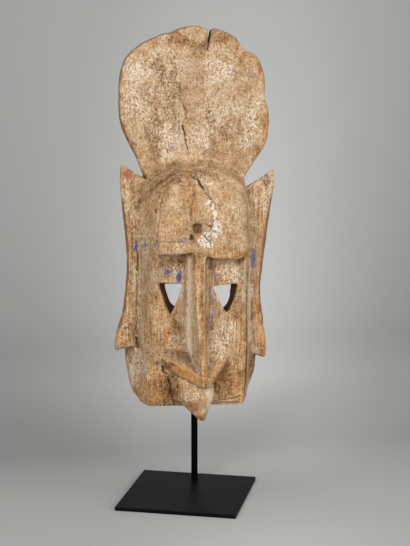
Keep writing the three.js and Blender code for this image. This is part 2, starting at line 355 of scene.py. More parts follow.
# %% [markdown]
# ## From a grid of points to a mesh
#
# Each form is a stack of rings. `skin` joins the rings with four-sided faces, closes both ends with a fan
# of triangles, turns the faces outwards by the sign of the volume, and fills the mesh from whole arrays,
# which is far quicker than adding points one by one.


# %% Skin over a stack of rings
def quads_between(left, right):
    """Four-sided faces between two grids of point numbers that lie side by side."""
    return np.stack([left[:-1], right[:-1], right[1:], left[1:]], axis=-1).reshape(-1, 4)


def signed_volume(points, triangles):
    """Volume inside the triangles, by the sum of a . (b x c) / 6, negative where they face inwards."""
    a, b, c = (points[triangles[:, i]] for i in range(3))
    return (a * np.cross(b, c)).sum() / 6


def skin(name, x, y, z):
    """A closed mesh over rings of points, a row for each ring, in millimetres from the rod."""
    rings = np.stack(np.broadcast_arrays(x, y, z), axis=-1)
    rows, columns = rings.shape[:2]
    points = np.concatenate([rings.reshape(-1, 3), rings[[0, -1]].mean(axis=1)])
    index = np.arange(rows * columns).reshape(rows, columns)
    after = np.roll(index, -1, axis=1)
    quads = quads_between(index, after)
    first_fan = np.stack([after[0], index[0], np.full(columns, rows * columns)], axis=-1)
    last_fan = np.stack([index[-1], after[-1], np.full(columns, rows * columns + 1)], axis=-1)
    fans = np.concatenate([first_fan, last_fan])
    halves = np.concatenate([quads[:, [0, 1, 2]], quads[:, [0, 2, 3]], fans])
    if signed_volume(points, halves) < 0:
        quads, fans = quads[:, ::-1], fans[:, ::-1]
    mesh = bpy.data.meshes.new(name)
    mesh.vertices.add(len(points))
    mesh.vertices.foreach_set("co", metres(points).ravel())
    corners = np.concatenate([quads.ravel(), fans.ravel()])
    mesh.loops.add(len(corners))
    mesh.loops.foreach_set("vertex_index", corners)
    sizes = np.concatenate([np.full(len(quads), 4), np.full(len(fans), 3)])
    mesh.polygons.add(len(sizes))
    mesh.polygons.foreach_set("loop_start", np.cumsum(sizes) - sizes)
    mesh.update(calc_edges=True)
    print(name, len(points), "points")
    return placed(name, mesh)


# %% [markdown]
# ## The body
#
# Around each height the ring starts at the left back rim, follows the side wall forwards to the board,
# crosses the face by the relief, and goes back to the right rim. Places lie closer together where the side
# slopes, and levels lie closer together at the brow, where the depth changes at once.

# %% Body
CHIN_SAG = 2.0


def heights(*stretches):
    """Levels from (start, end, spacing) stretches that follow each other."""
    levels = [np.arange(start, end, spacing) for start, end, spacing in stretches]
    return np.concatenate(levels + [[stretches[-1][1]]])


def wall(z, share):
    """Width and place of the side wall, from the rim at share 0 over the widest line to the board at 1."""
    y = mix(rim_y(z), BOARD_Y, share)
    behind = np.clip((y - WIDEST_Y) / (rim_y(z) - WIDEST_Y), 0, 1)
    before = np.clip((WIDEST_Y - y) / (WIDEST_Y - BOARD_Y), 0, 1)
    width = back_half(z) - 4 * behind ** 2
    return np.where(y > WIDEST_Y, width, mix(back_half(z), face_half(z), before ** 1.6)), y


def body():
    """Rings of side wall, face and side wall, straight across at the back, where the hollow is cut
    later."""
    z = heights((FOOT_Z, 350, 1.8), (350, 376, 0.8), (376, DOME_Z - 12, 1.8), (DOME_Z - 12, DOME_Z - 1, 1))
    z = z[:, None]
    wide, y = wall(z, np.linspace(0, 1, 26)[None, :-1])
    along = np.linspace(-1, 1, 240)[None, :]
    across = np.sin(along * math.pi / 2) * 0.55 + along * 0.45
    x = FACE_CENTRE_X + across * face_half(z)
    ring_x = np.concatenate([-wide, x, wide[:, ::-1]], axis=1)
    ring_y = np.concatenate([y, BOARD_Y - relief(x, z), y[:, ::-1]], axis=1)
    ring_x = ring_x - LEFT_CHIN_FULLER * ease(-z, 35 - WIDEST_Z, 78 - WIDEST_Z) * ease(-ring_x, 40, 70)
    edge_sag = CHIN_SAG * ease(-z, -FOOT_Z - 16, -FOOT_Z) * ring_x / FACE_HALF
    return skin("block", ring_x, ring_y, z - edge_sag)


# %% Hollow
def hollow():
    """The cut that leaves the walls: a rounded front, straight sides, and open past the rim and the
    foot."""
    z = heights((FOOT_Z - 30, FOOT_Z, 15), (FOOT_Z, HOLLOW_TOP, 5))[:, None]
    level = np.maximum(z, FOOT_Z)
    closing = arch((level - HOLLOW_SHOULDER_Z) / (HOLLOW_TOP + 6 - HOLLOW_SHOULDER_Z), ROUNDNESS)
    side = (np.minimum(face_half(level), FACE_HALF) - WALL_SIDE) * closing
    back = (np.minimum(back_half(level), BACK_HALF) - WALL_SIDE) * closing
    depth = (CHEEK_DEPTH - WALL_FRONT + 12 * ease(level, 340, 390)) * np.maximum(closing, 0.3)
    turn = np.linspace(math.pi, 0, 60)[None, :]
    front_x = side * np.sign(np.cos(turn)) * np.abs(np.cos(turn)) ** 0.6
    front_y = BOARD_Y - depth * np.sin(turn).clip(0) ** 0.6
    side_x = mix(side, back, np.array([1, 1, 0.97, 0.8, 0.4])[None, :])
    side_y = np.array([RIM_Y + 30, WIDEST_Y + 6, WIDEST_Y, 12, 2])[None, :] + 0 * z
    ring_x = np.concatenate([-side_x, front_x, side_x[:, ::-1]], axis=1)
    ring_y = np.concatenate([side_y, front_y, side_y[:, ::-1]], axis=1)
    return skin("hollow cut", ring_x, ring_y, z)


block = body()
hollow_cut = hollow()

# %% [markdown]
# ## Crest and flanges
#
# Boards with a free outline can be filled and extruded, but then their edges are all alike. Here the
# profile of the edge is carried round the outline: front face, worn corner, edge, corner, back face. That
# gives each board the soft, uneven rim of handled wood.


# %% Outline and edge of a board
def spaced(path, count, endpoint=True):
    """Places at even distances along a path of straight steps."""
    along = np.concatenate([[0], np.cumsum(np.hypot(*np.diff(path, axis=0).T))])
    places = np.linspace(0, along[-1], count, endpoint=endpoint)
    return np.stack([np.interp(places, along, path[:, i]) for i in range(2)], axis=-1)


def smooth_path(points, count):
    """A Catmull-Rom curve through the points: cubic steps whose ends share the slope between neighbours."""
    points = np.array(points, float)
    ends = np.concatenate([[2 * points[0] - points[1]], points, [2 * points[-1] - points[-2]]])
    t = np.linspace(0, 1, 24, endpoint=False)[:, None, None]
    a, b, c, d = ends[:-3], ends[1:-2], ends[2:-1], ends[3:]
    bend, twist = 2 * a - 5 * b + 4 * c - d, 3 * b - a - 3 * c + d
    curve = 0.5 * (2 * b + (c - a) * t + bend * t ** 2 + twist * t ** 3)
    return spaced(np.concatenate([curve.transpose(1, 0, 2).reshape(-1, 2), points[-1:]]), count)


def over_edge(length, thickness, corner, edge_steps, face_steps, start=0):
    """From the middle of a board's front over its edge to the middle of its back: how far out each step
    lies, as a share of the length to the edge, and how far back. The corner is an ellipse, as deep as half
    the thickness."""
    turn = np.linspace(0, math.pi, edge_steps)
    inset = corner * (1 - np.sin(turn) ** 0.8)
    face = np.linspace(start, 1, face_steps, endpoint=False)[:, None]
    out = np.concatenate([face * (1 - inset[0] / length), 1 - inset[:, None] / length,
                          face[::-1] * (1 - inset[-1] / length)])
    back = thickness / 2 * (1 - np.cos(turn))
    return out, np.concatenate([np.zeros(face_steps), back, np.full(face_steps, back[-1])])


# %% Crest
CREST_LEFT = [(-76, 479), (-89.5, 511), (-108.5, 553), (-113, 580), (-113.2, 600), (-111.3, 627.5),
              (-105.7, 648), (-98.7, 660), (-82.9, 673.5), (-67.2, 682), (-49.6, 689.5), (-33.8, 693),
              (-20, 699), (-7, 701.8), (7, 701.8), (15.7, 698.6), (23.7, 697), (31.6, 699.2), (42.4, 696),
              (53, 691.7), (63.7, 684.8), (69.3, 675.3), (78.3, 664.9)]
CREST_RIGHT = [(79, 664.5), (92.7, 660.6), (103.5, 644), (109, 622), (108.5, 597), (113, 582), (116, 561.5),
               (112.7, 535), (104.4, 517.3), (86.5, 492.6), (76.5, 475)]
CREST_MIDDLE = (0, 590)
CREST_THICKNESS = 18
CREST_CORNER = 5.5
CREST_CENTRE_SHARE = 0.04


def crest():
    """The tall board: its edge profile carried round the outline, and faces filled by shrinking the outline
    towards the middle."""
    under = [(62, 440), (-62, 440)]
    outline = np.concatenate([smooth_path(CREST_LEFT, 300), smooth_path(CREST_RIGHT, 150), under])
    from_middle = outline - CREST_MIDDLE
    reach = np.hypot(*from_middle.T)
    size, behind = over_edge(reach, CREST_THICKNESS, CREST_CORNER, 26, 29, CREST_CENTRE_SHARE)
    x, z = np.moveaxis(CREST_MIDDLE + from_middle * size[..., None], -1, 0)
    return skin("crest", x, BOARD_Y + behind[:, None], z)


# %% Flanges
LEFT_OUTER = [(-110.3, 500), (-112.5, 475), (-110.6, 447), (-107.2, 413), (-103.2, 363), (-104.5, 325),
              (-110.6, 278), (-119.5, 245), (-122.9, 224), (-120.7, 216.5)]
RIGHT_OUTER = [(122.8, 488), (123.6, 463), (117, 422), (109.8, 368), (103.2, 310), (106.4, 268), (112.2, 224),
               (113, 205), (111, 195.3)]
LEFT_ROOT = [(-72, 476.5), (-76, 440), (-76, 240), (-80, 226.6)]
RIGHT_ROOT = [(78, 460), (76, 440), (76, 230), (76, 208)]
FLANGE_THICKNESS = 11
FLANGE_CORNER = 2.6
FLANGE_ROWS = 150


def flange(name, outer, root):
    """A thin wing: lines from the root inside the body out to the free edge, each with the edge profile
    round its outer end. The first and the last lines are drawn together in thickness, so that both tips end
    rounded."""
    outer, root = smooth_path(outer, FLANGE_ROWS), smooth_path(root, FLANGE_ROWS)
    reach = outer - root
    out, behind = over_edge(np.hypot(*reach.T), FLANGE_THICKNESS, FLANGE_CORNER, 14, 17)
    row = np.arange(FLANGE_ROWS)
    thin = arch(1 - np.minimum(row, row[::-1])[:, None] / 3, 2).clip(0.25)
    x, z = np.moveaxis(root[:, None] + reach[:, None] * out.T[..., None], -1, 0)
    y = BOARD_Y + 2 + FLANGE_THICKNESS / 2 + (behind[None, :] - FLANGE_THICKNESS / 2) * thin
    return skin(name, x, y, z)


joined = [
    crest(),
    flange("left flange", LEFT_OUTER, LEFT_ROOT),
    flange("right flange", RIGHT_OUTER, RIGHT_ROOT),
]

# %% [markdown]
# ## Chin tongue and the cuts
#
# The tongue hangs free below the muzzle, so it can't be part of the height function: it is a stack of rings
# that shift and shrink downwards, half an oval behind and two facets in front. The eyes, the socket in the
# brow and the slot in the crest are made in the same way, as the shapes of the tools that cut them away.

# %% Tongue
TONGUE_Z = [115.2, 118, 124, 134, 147, 156, 163, 171, 178, 183, 186]
TONGUE_X = [1.8, 0.8, -1.4, -4.4, -7.2, -8.5, -11, -14, -16, -17, -18]
TONGUE_Y = [-59, -59, -58, -56, -54, -52, -51, -50, -49, -48, -47]
TONGUE_WIDE = [2.5, 5.5, 9.5, 16.5, 25, 30, 32, 32, 28, 21, 12]
TONGUE_DEEP = [3, 6, 10, 14.5, 18.5, 20, 20.5, 20, 17, 13, 7]
TONGUE_RIDGE_X = 3


def tongue():
    """Rings whose middle, width and depth change with height: half an oval behind, and in front two rounded
    facets that meet in a blunt ridge."""
    z = np.linspace(TONGUE_Z[0], TONGUE_Z[-1], 70)[:, None]
    turn = np.linspace(0, 2 * math.pi, 72, endpoint=False)[None, :]
    middle_x, middle_y, wide, deep = (np.interp(z, TONGUE_Z, line)
                                      for line in (TONGUE_X, TONGUE_Y, TONGUE_WIDE, TONGUE_DEEP))
    x = middle_x + wide * np.cos(turn)
    from_ridge = x - TONGUE_RIDGE_X
    to_edge = np.where(from_ridge < 0, TONGUE_RIDGE_X - middle_x + wide, middle_x + wide - TONGUE_RIDGE_X)
    facet = np.clip(1 - np.abs(from_ridge) / to_edge, 0, 1) ** 0.8
    front = mix(np.abs(np.sin(turn)), facet, 0.6)
    return skin("tongue", x, middle_y + deep * np.where(turn > math.pi, -front, np.sin(turn)), z)


joined.append(tongue())


# %% Cutting tools
def rounded(corners, count, radius):
    """A closed outline through the corners, with each corner rounded by averaging over a stretch of it."""
    outline = spaced(np.array(corners + corners[:1], float), count, endpoint=False)
    reach = max(1, round(radius / math.dist(outline[0], outline[1])))
    return sum(np.roll(outline, shift, axis=0) for shift in range(-reach, reach + 1)) / (2 * reach + 1)


def tunnel(name, front, front_y, back, back_y, radius):
    """A cut from one outline to another, run on at both ends in the same directions."""
    a, b = rounded(front, 90, radius), rounded(back, 90, radius)
    share = np.linspace(-0.7, 1.5, 24)[:, None]
    x, z = np.moveaxis(mix(a[None], b[None], share[..., None]), -1, 0)
    return skin(name, x, mix(front_y, back_y, share), z)


# %% Eyes, socket and slot
EYE_FRONT_Y = -42
EYE_BACK_Y = -22
LEFT_EYE = [(-64.5, 326.5), (-25.5, 323.5), (-36, 292), (-46, 271.5), (-54.8, 299)]
LEFT_EYE_BACK = [(-49.5, 321), (-17.5, 320.5), (-27, 290.5), (-33.5, 287), (-40.5, 293)]
RIGHT_EYE = [(20.5, 317.5), (60.3, 321), (52.8, 296), (44.5, 276), (39, 281)]
RIGHT_EYE_BACK = [(21, 314.5), (51, 317.8), (49.5, 298), (44.5, 287), (37.5, 280.5)]
SOCKET = [(-14.2, 416.5), (-1, 416), (-2.8, 399), (-12.8, 399.5)]
SOCKET_BACK = [(-13.5, 415), (-2, 414.5), (-3.5, 402), (-12, 402)]
CREST_SLOT = [(20.6, 712), (25.4, 712), (24.4, 694), (22.2, 682), (18.8, 664), (19.2, 682), (20.6, 694)]

cuts = [
    hollow_cut,
    tunnel("left eye", LEFT_EYE, EYE_FRONT_Y, LEFT_EYE_BACK, EYE_BACK_Y, 1.8),
    tunnel("right eye", RIGHT_EYE, EYE_FRONT_Y, RIGHT_EYE_BACK, EYE_BACK_Y, 1.8),
    tunnel("brow socket", SOCKET, -66, SOCKET_BACK, -61, 1.2),
    tunnel("crest slot", CREST_SLOT, -12, CREST_SLOT, 16, 0.5),
]

# %% [markdown]
# ## One piece of wood
#
# Boolean modifiers join the forms and cut the hollow. Their meeting lines are knife sharp, so a voxel
# remesh and a light smoothing follow: they turn everything into one even skin with corners rounded by about
# a millimetre, which is how old carved wood looks.


# %% Join, cut and skin over
def settle(piece):
    """Replaces the piece's mesh by what its modifiers make of it, and clears them."""
    made = bpy.data.meshes.new_from_object(piece.evaluated_get(bpy.context.evaluated_depsgraph_get()))
    piece.modifiers.clear()
    piece.data = made


def add_modifier(piece, kind, **settings):
    """A modifier with its settings by name."""
    modifier = piece.modifiers.new(kind.title(), kind)
    for name, value in settings.items():
        setattr(modifier, name, value)


VOXEL = 1.2

for operation, forms in (("UNION", joined), ("DIFFERENCE", cuts)):
    for form in forms:
        add_modifier(block, "BOOLEAN", operation=operation, solver="MANIFOLD", object=form)
add_modifier(block, "REMESH", mode="VOXEL", voxel_size=VOXEL * MM)
add_modifier(block, "SMOOTH", factor=0.5, iterations=2)
settle(block)
for form in joined + cuts:
    bpy.data.objects.remove(form)
mask = block
mask.name = "carved_mask"
print("mask after the remesh:", len(mask.data.vertices), "points")

# %% [markdown]
# ## Noise for a carver's hand
#
# Two patterns do most of the work. Lattice noise swells and dips smoothly. Scallops are the trace of a
# gouge: shallow bowls that meet in faint ridges. Both are seeded, so each run gives the same mask.

# %% Noise
LATTICE = 24
seeded = np.random.default_rng(71)
LATTICE_HEIGHTS = seeded.uniform(-1, 1, (LATTICE,) * 3)
LATTICE_PLACES = seeded.uniform(0.1, 0.9, (LATTICE,) * 3 + (3,))


def noise(points, size):
    """Smooth heights between -1 and 1: a random height at each corner of a lattice, mixed by smooth
    steps."""
    cell = points / size
    low = np.floor(cell).astype(int)
    t = cell - low
    t = t * t * (3 - 2 * t)
    total = np.zeros(len(points))
    for corner in np.ndindex(2, 2, 2):
        weight = np.where(corner, t, 1 - t).prod(axis=1)
        total += weight * LATTICE_HEIGHTS[tuple(((low + corner) % LATTICE).T)]
    return total


def scallops(points, size):
    """Bowls round random places, one in each cell of a lattice: the square of the distance to the
    nearest."""
    place = points / size
    cell = np.floor(place).astype(int)
    nearest = np.full(len(points), 9.0)
    for step in np.ndindex(3, 3, 3):
        around = cell + step - np.array((1, 1, 1))
        centre = around + LATTICE_PLACES[tuple((around % LATTICE).T)]
        nearest = np.minimum(nearest, ((place - centre) ** 2).sum(axis=1))
    return nearest


# %% [markdown]
# ## Tool marks, grain and cracks
#
# These move the points of the skin along its normals. The same could be done with a bump in the material,
# but then the outline would stay smooth, and marks this size show on the outline.


# %% Reading and moving points
def read(items, name, width=1, kind=np.float32):
    """One property of many items as an array, a row for each item where the property has several
    numbers."""
    flat = np.empty(len(items) * width, kind)
    items.foreach_get(name, flat)
    return flat if width == 1 else flat.reshape(-1, width)


def points_of(mesh):
    """The mesh's points in millimetres from the rod."""
    return millimetres(read(mesh.vertices, "co", 3).astype(float))


def normals_of(mesh):
    """The outward direction at each point."""
    return read(mesh.vertex_normals, "vector", 3).astype(float)


def move_points(mesh, points):
    """Puts the mesh's points at these places, given in millimetres from the rod."""
    mesh.vertices.foreach_set("co", metres(points).astype(np.float32).ravel())
    mesh.update()


def relaxed(mesh, points, rounds):
    """The points after a number of rounds in which each goes to the average of its neighbours."""
    a, b = read(mesh.edges, "vertices", 2, np.int32).T
    count = len(points)
    shares = np.bincount(a, minlength=count) + np.bincount(b, minlength=count)
    for _ in range(rounds):
        total = [np.bincount(a, points[b, i], count) + np.bincount(b, points[a, i], count) for i in range(3)]
        points = np.stack(total, axis=-1) / shares[:, None]
    return points


def bent(points):
    """The points' x and z, pushed about a little, so that lines drawn with them waver."""
    x, _, z = points.T
    return (x + 1.1 * noise(points, 11.0) + 1.0 * noise(points, 4.0),
            z + 0.8 * noise(points, 7.0) + 0.7 * noise(points + 20.0, 3.5))


def near_line(x, z, line):
    """1 on a line through (x, z, width) places and less away from it, by a bell of the width at that
    place."""
    line = np.array(line, float)
    share = np.zeros(len(x))
    for start, end in zip(line[:-1], line[1:]):
        step = (end - start)[:2]
        t = np.clip(((x - start[0]) * step[0] + (z - start[1]) * step[1]) / (step @ step), 0, 1)
        gap = (x - start[0] - t * step[0]) ** 2 + (z - start[1] - t * step[1]) ** 2
        share = np.maximum(share, np.exp(-gap / mix(start[2], end[2], t) ** 2))
    return share


# %% [markdown]
# ## Wear, then gouges, then cracks
#
# The sharp lines are softened first, as hands and weather do. Then come the tool marks, as sums of noise
# and scallops of several sizes: long ones follow the grain, which runs upwards, and wide bowls line the
# hollow, where the wood was left rough. The cracks are cut last, along wavering lines. The box of the
# measured model limits all of it.

# %% Cracks, flaws and painted shadow lines: how deep each is, and its line of (x, z, width) places
CRACKS_AND_SHADOW_LINES = [
    (6.0, [(-3.5, 480.5, 0.8), (-0.5, 474.5, 1.8), (2.5, 469, 1.6), (4.5, 465, 0.6)]),
    (3.0, [(5.5, 462, 0.6), (7, 459.5, 1.0), (8.5, 457, 0.5)]),
    (2.4, [(12, 454, 0.5), (14, 451, 0.9), (14.5, 448.5, 0.5)]),
    (1.6, [(-54, 462, 0.5), (-58.5, 449, 0.9), (-61, 437, 1.1), (-64, 418, 1.0),
           (-66.5, 404, 0.9), (-68, 384, 1.0)]),
    (2.2, [(-67.5, 431.5, 1.6), (-66.3, 435.5, 1.9)]),
    (3.2, [(-56.5, 198, 0.8), (-55, 191, 1.6), (-51, 186, 0.9)]),
    (3.6, [(-48, 182, 0.6), (-45.5, 174, 1.2), (-44.5, 165, 1.2), (-43.5, 158, 0.5)]),
    (2.0, [(-45, 158, 0.6), (-47.6, 153, 0.7), (-53.2, 147, 1.0), (-53, 136, 1.1)]),
    (2.6, [(-43, 158, 0.6), (-41.5, 150, 1.1), (-38, 135, 1.4)]),
    (1.2, [(-46.5, 172, 0.7), (-41, 179.5, 0.9), (-33, 183.5, 1.0), (-25, 182, 0.9)]),
    (1.4, [(-7.5, 171, 0.9), (-6.5, 163, 1.0), (-4, 155, 0.6)]),
    (1.2, [(-4, 171.5, 0.7), (3, 168.5, 0.9), (9, 168.5, 0.8)]),
    (2.2, [(-23, 600, 0.6), (-17, 587, 1.0), (-12, 577, 0.8), (-16, 563, 0.5)]),
    (3.0, [(-18, 556, 1.1), (-15, 543, 1.2), (-12.5, 529, 0.8), (-10, 519, 0.5)]),
    (0.8, [(-16, 563, 0.5), (-17, 559, 0.6), (-18, 556, 0.7)]),
    (1.2, [(29, 562, 0.6), (30, 540, 0.9), (30, 505, 0.6)]),
    (1.2, [(-52, 640, 0.8), (-47, 632, 1.2), (-50, 622, 0.6)]),
    (1.2, [(62, 600, 0.6), (58, 592, 1.0), (63, 584, 0.6)]),
    (1.2, [(72, 566, 0.7), (78, 574, 1.0), (86, 577, 0.6)]),
    (1.2, [(-78, 560, 0.7), (-73, 548, 1.1), (-74, 536, 0.6)]),
    (1.6, [(-41, 522, 1.2), (-41, 514, 1.0)]),
    (1.8, [(-57, 480, 0.8), (-47, 487, 1.1), (-38, 493, 0.9)]),
    # The seam beside the left flange: grooves with painted shade in them.
    (2.6, [(-88.6, 366, 0.9), (-88.6, 352, 1.15), (-88.8, 340, 0.9)]),
    (1.2, [(-88.8, 336, 0.9), (-89.5, 290, 0.8), (-90.4, 240, 1.0)]),
    (3.0, [(-90.5, 236, 1.5), (-89.5, 221, 2.0)]),
    (2.2, [(20, 139.5, 0.8), (34, 141, 1.1), (44, 143, 0.8), (63, 146, 1.0)]),
    # Painted shadow lines under the front edge of the foot.
    (2.0, [(18, 136.3, 1.3), (62, 136.8, 1.3)]),
    (1.4, [(-76, 138, 0.9), (-36, 136.3, 1.3)]),
    # The seams along the right edge of the face, beside and below the right flange: grooves with painted
    # shade in them.
    (3.6, [(75.5, 222, 1.2), (74.6, 194, 1.7), (73, 170, 1.4), (71, 141, 0.8)]),
    (2.6, [(75, 336, 0.6), (75, 300, 1.3), (74.8, 250, 1.3), (75.3, 226, 0.8)]),
    (1.6, [(44.5, 271, 0.8), (42.5, 259, 1.0), (41, 246, 0.6)]),
    # Painted shadow in the notch between the crest and the left flange.
    (3.0, [(-78, 486, 1.6), (-75.5, 480, 2.2)]),
    (3.2, [(-15.8, 398, 2.6), (-16, 394, 3.2)]),
    (2.4, [(10, 413, 1.4), (12.5, 411, 1.0)]),
    (3.4, [(3, 399, 0.6), (5, 394, 1.0), (9, 391, 1.1), (12, 386, 0.6)]),
    (3.0, [(-3, 401, 0.7), (3, 399, 0.9), (7, 403, 0.5)]),
    (2.6, [(12, 411, 0.6), (15, 404, 1.0), (13, 398, 0.6)]),
]

# %% Marks over the whole mask
# Swells and dips: how high, how wide, and a shift so that no two patterns fall together.
SWELLS = [(0.7, 42.0, 0), (0.3, 13.0, 0), (0.12, 4.5, 0), (0.15, (6.0, 6.0, 60.0), 0), (0.25, 7.0, 9.0)]
GOUGE_WIDE = (15.0, 15.0, 26.0)
GOUGE_DEEP = 0.9
GOUGE_DEEP_ON_CREST = 0.45
ROUGH_GOUGE_WIDE = (22.0, 22.0, 40.0)
ROUGH_GOUGE_DEEP = 1.3
STREAK_DEEP = 0.5
BOX_MARGIN = 0.3
DOME_CENTRE_Z = 400
DOME_RADIUS = 96


def soften(mesh):
    """Fills inner corners and wears outer ones: each point moves along its normal towards the average of
    its surroundings, all the way and over a wide reach where that lies outside, less and unevenly where
    inside."""
    points, normals = points_of(mesh), normals_of(mesh)
    fill = ((relaxed(mesh, points, 12) - points) * normals).sum(axis=1).clip(0, 2.0)
    worn = ((points - relaxed(mesh, points, 5)) * normals).sum(axis=1).clip(0, 1.5)
    uneven = 0.35 + 0.5 * noise(points, 16.0)
    move_points(mesh, points + normals * (0.8 * fill - worn * uneven.clip(0, 1.2))[:, None])


def arcs(points):
    """Streaks that run along the dome's edge, strongest there and gone further off: noise in polar
    places."""
    x, _, z = points.T
    ring = np.hypot(x, z - DOME_CENTRE_Z)
    along = DOME_RADIUS * np.arctan2(x, z - DOME_CENTRE_Z)
    polar = np.stack([ring, along, 0 * x], axis=-1)
    streaks = noise(polar, (3.4, 50.0, 9.0)) + 0.7 * noise(polar + 60.0, (1.7, 34.0, 9.0))
    return streaks * bell(ring, DOME_RADIUS, 16) * ease(z, 395, 445)


def carve_marks(mesh):
    """Adds swells, gouges, streaks and cracks to every point, along its normal, in millimetres."""
    points, normals = points_of(mesh), normals_of(mesh)
    x, y, z = points.T
    facing = ease(-normals[:, 1], 0.0, 0.5)
    inside = ease(y, BOARD_Y - 4, BOARD_Y + 6) * (np.abs(x) < back_half(z) - 6) * (z < HOLLOW_TOP + 2)
    depth = sum(high * noise(points + shift, wide) for high, wide, shift in SWELLS)
    gouge = mix(GOUGE_DEEP, GOUGE_DEEP_ON_CREST, ease(z, DOME_Z - 6, DOME_Z + 12))
    depth += gouge * (scallops(points, GOUGE_WIDE) - 0.25)
    depth += ROUGH_GOUGE_DEEP * inside * (scallops(points + 31.0, ROUGH_GOUGE_WIDE) - 0.3)
    depth += STREAK_DEEP * arcs(points) * facing
    bent_x, bent_z = bent(points)
    for deep, line in CRACKS_AND_SHADOW_LINES:
        depth -= deep * facing * near_line(bent_x, bent_z, line)
    low, high = (millimetres(np.array(corner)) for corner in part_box("mask"))
    move_points(mesh, (points + normals * depth[:, None]).clip(low + BOX_MARGIN, high - BOX_MARGIN))


soften(mask.data)
carve_marks(mask.data)

# %% [markdown]
# ## What stands out and what lies deep
#
# Wear polishes what stands out. What lies deep is darkened, partly as dirt and partly as painted shade in
# corners and hollows. Comparing each point with the average of its surroundings tells the two apart, over a
# short reach for chips and pits and over a long one for whole forms. It is measured now, while the points lie
# evenly. Blender keeps the numbers as attributes and carries them along when the mesh is thinned.


# %% Numbers kept on the mesh
def store(mesh, name, values):
    """Keeps one number for each point under this name."""
    attribute = mesh.attributes.new(name, "FLOAT", "POINT")
    attribute.data.foreach_set("value", values.astype(np.float32))


def stored(mesh, name):
    """The numbers kept under this name."""
    return read(mesh.attributes[name].data, "value")


def feel(mesh):
    """Stores how far each point stands out, in millimetres, from its close and from its broad
    surroundings."""
    points, normals = points_of(mesh), normals_of(mesh)
    for name, rounds in (("stands out", 4), ("stands out broadly", 24)):
        store(mesh, name, ((points - relaxed(mesh, points, rounds)) * normals).sum(axis=1))


feel(mask.data)
print("stands out at most, millimetres:", stored(mask.data, "stands out").max().round(2))

# %% [markdown]
# ## Fewer triangles where nobody looks
#
# The hollow and the back need fewer triangles than the face. A Decimate modifier takes them away by how
# little the shape changes, and a vertex group tells it to spare the front. What a light weight adds to the
# cost of a triangle is a length, far larger than the squared errors it is added to, so its factor is kept
# tiny: otherwise the back would be stripped bare before the front gave up its first triangle.

# %% Thin out the back
TRIANGLES = 193000
SPARE_FRONT = 0.00004
FRONT_WEIGHT = 0.05
WEIGHT_STEPS = 4


def triangles_in(mesh):
    """How many triangles the faces make: two fewer than corners, for each face."""
    return len(mesh.loops) - 2 * len(mesh.polygons)


def thin_out(piece, target):
    """Decimates the piece to about this many triangles, mostly where its vertex group is heavy."""
    behind = ease(normals_of(piece.data)[:, 1], -0.2, 0.6)
    group = piece.vertex_groups.new(name="behind")
    for level in range(WEIGHT_STEPS + 1):
        chosen = np.flatnonzero(np.round(behind * WEIGHT_STEPS) == level)
        group.add(chosen.tolist(), mix(FRONT_WEIGHT, 1, level / WEIGHT_STEPS), "REPLACE")
    add_modifier(piece, "DECIMATE", ratio=target / triangles_in(piece.data), vertex_group="behind",
                 vertex_group_factor=SPARE_FRONT)
    settle(piece)
    piece.vertex_groups.clear()
    piece.data.shade_smooth()


print("triangles before:", triangles_in(mask.data))
thin_out(mask, TRIANGLES)
print("triangles after:", triangles_in(mask.data))

# %% [markdown]
# ## Where the colours lie
#
# Pigment, chalk, polish and grey weathering each have their places on the mask, and so do some painted shade
# and one painted light. They could be painted by hand, but written down as soft ellipses and as lines they
# stay exact and need no picture. The material breaks up their edges.

# %% Places as (x, z, half width, half height, strength), and a lean in degrees where there is one
BLUE = [
    (-89.5, 376, 3.6, 13, 1.0), (-80, 380, 7, 3.5, 0.7, 30), (-68, 386, 8, 3, 0.6, 25),
    (-27, 391, 9, 5.5, 0.7, 10), (91, 353, 5.5, 18, 0.8, 4), (84, 367, 6, 4, 0.65), (-48, 341, 6, 4, 0.95),
    (-30.5, 333.5, 5, 11, 0.95, -10), (16, 338, 3.5, 8, 0.5), (15.7, 314, 3, 7, 0.75),
    (19.5, 297, 3.4, 12, 0.75, 10), (24, 277, 5, 11, 0.5, 10), (15, 268, 4, 16, 0.5), (-55, 634, 7, 6, 0.4),
    (-75, 612, 6, 7, 0.4), (74, 632, 10, 6, 0.4), (-35, 525, 6, 4, 0.6), (86, 630, 8, 5, 0.55, 20),
    (59, 637, 7, 5, 0.5), (-59, 610, 6, 8, 0.5), (114, 472, 6.5, 5, 0.65, 30), (7, 520, 8, 3.5, 0.45),
    (-23, 312, 3, 8, 0.6),
]
# The ring is (x, z, radius).
BLUE_RING = (28.5, 332.5, 4.2)
RED = [
    (-98, 483, 8, 11, 0.95, -25), (117, 483, 5, 7, 0.75, 30), (-49, 333, 6, 4, 0.8),
    (-11, 143, 10, 9, 0.7, 30), (76, 606, 22, 7, 0.45), (97, 635, 8, 12, 0.9, 10), (-16, 693, 16, 6, 0.6),
    (3, 640, 18, 40, 0.42), (-4, 592, 20, 34, 0.35), (-16, 620, 8, 30, 0.35), (68, 499, 16, 10, 0.35),
    (-60, 497, 10, 10, 0.3), (-92, 470, 7, 16, 0.35), (-52, 380, 20, 8, 0.4), (-22, 381, 18, 6, 0.35),
    (-16, 395, 4, 4, 0.6), (101, 320, 6, 60, 0.45),
]
CHALK = [
    (10, 448, 3, 5, 0.9, -35), (16, 440, 3.2, 7, 1.0, -15), (19, 428, 3.2, 9, 0.95), (21, 413, 5, 9, 0.9),
    (18, 402, 10, 10, 0.75), (5, 397, 10, 8, 0.8), (-3, 390, 7, 8, 0.75), (8, 386, 12, 7, 0.8),
    (26, 407, 6, 10, 0.7),
]
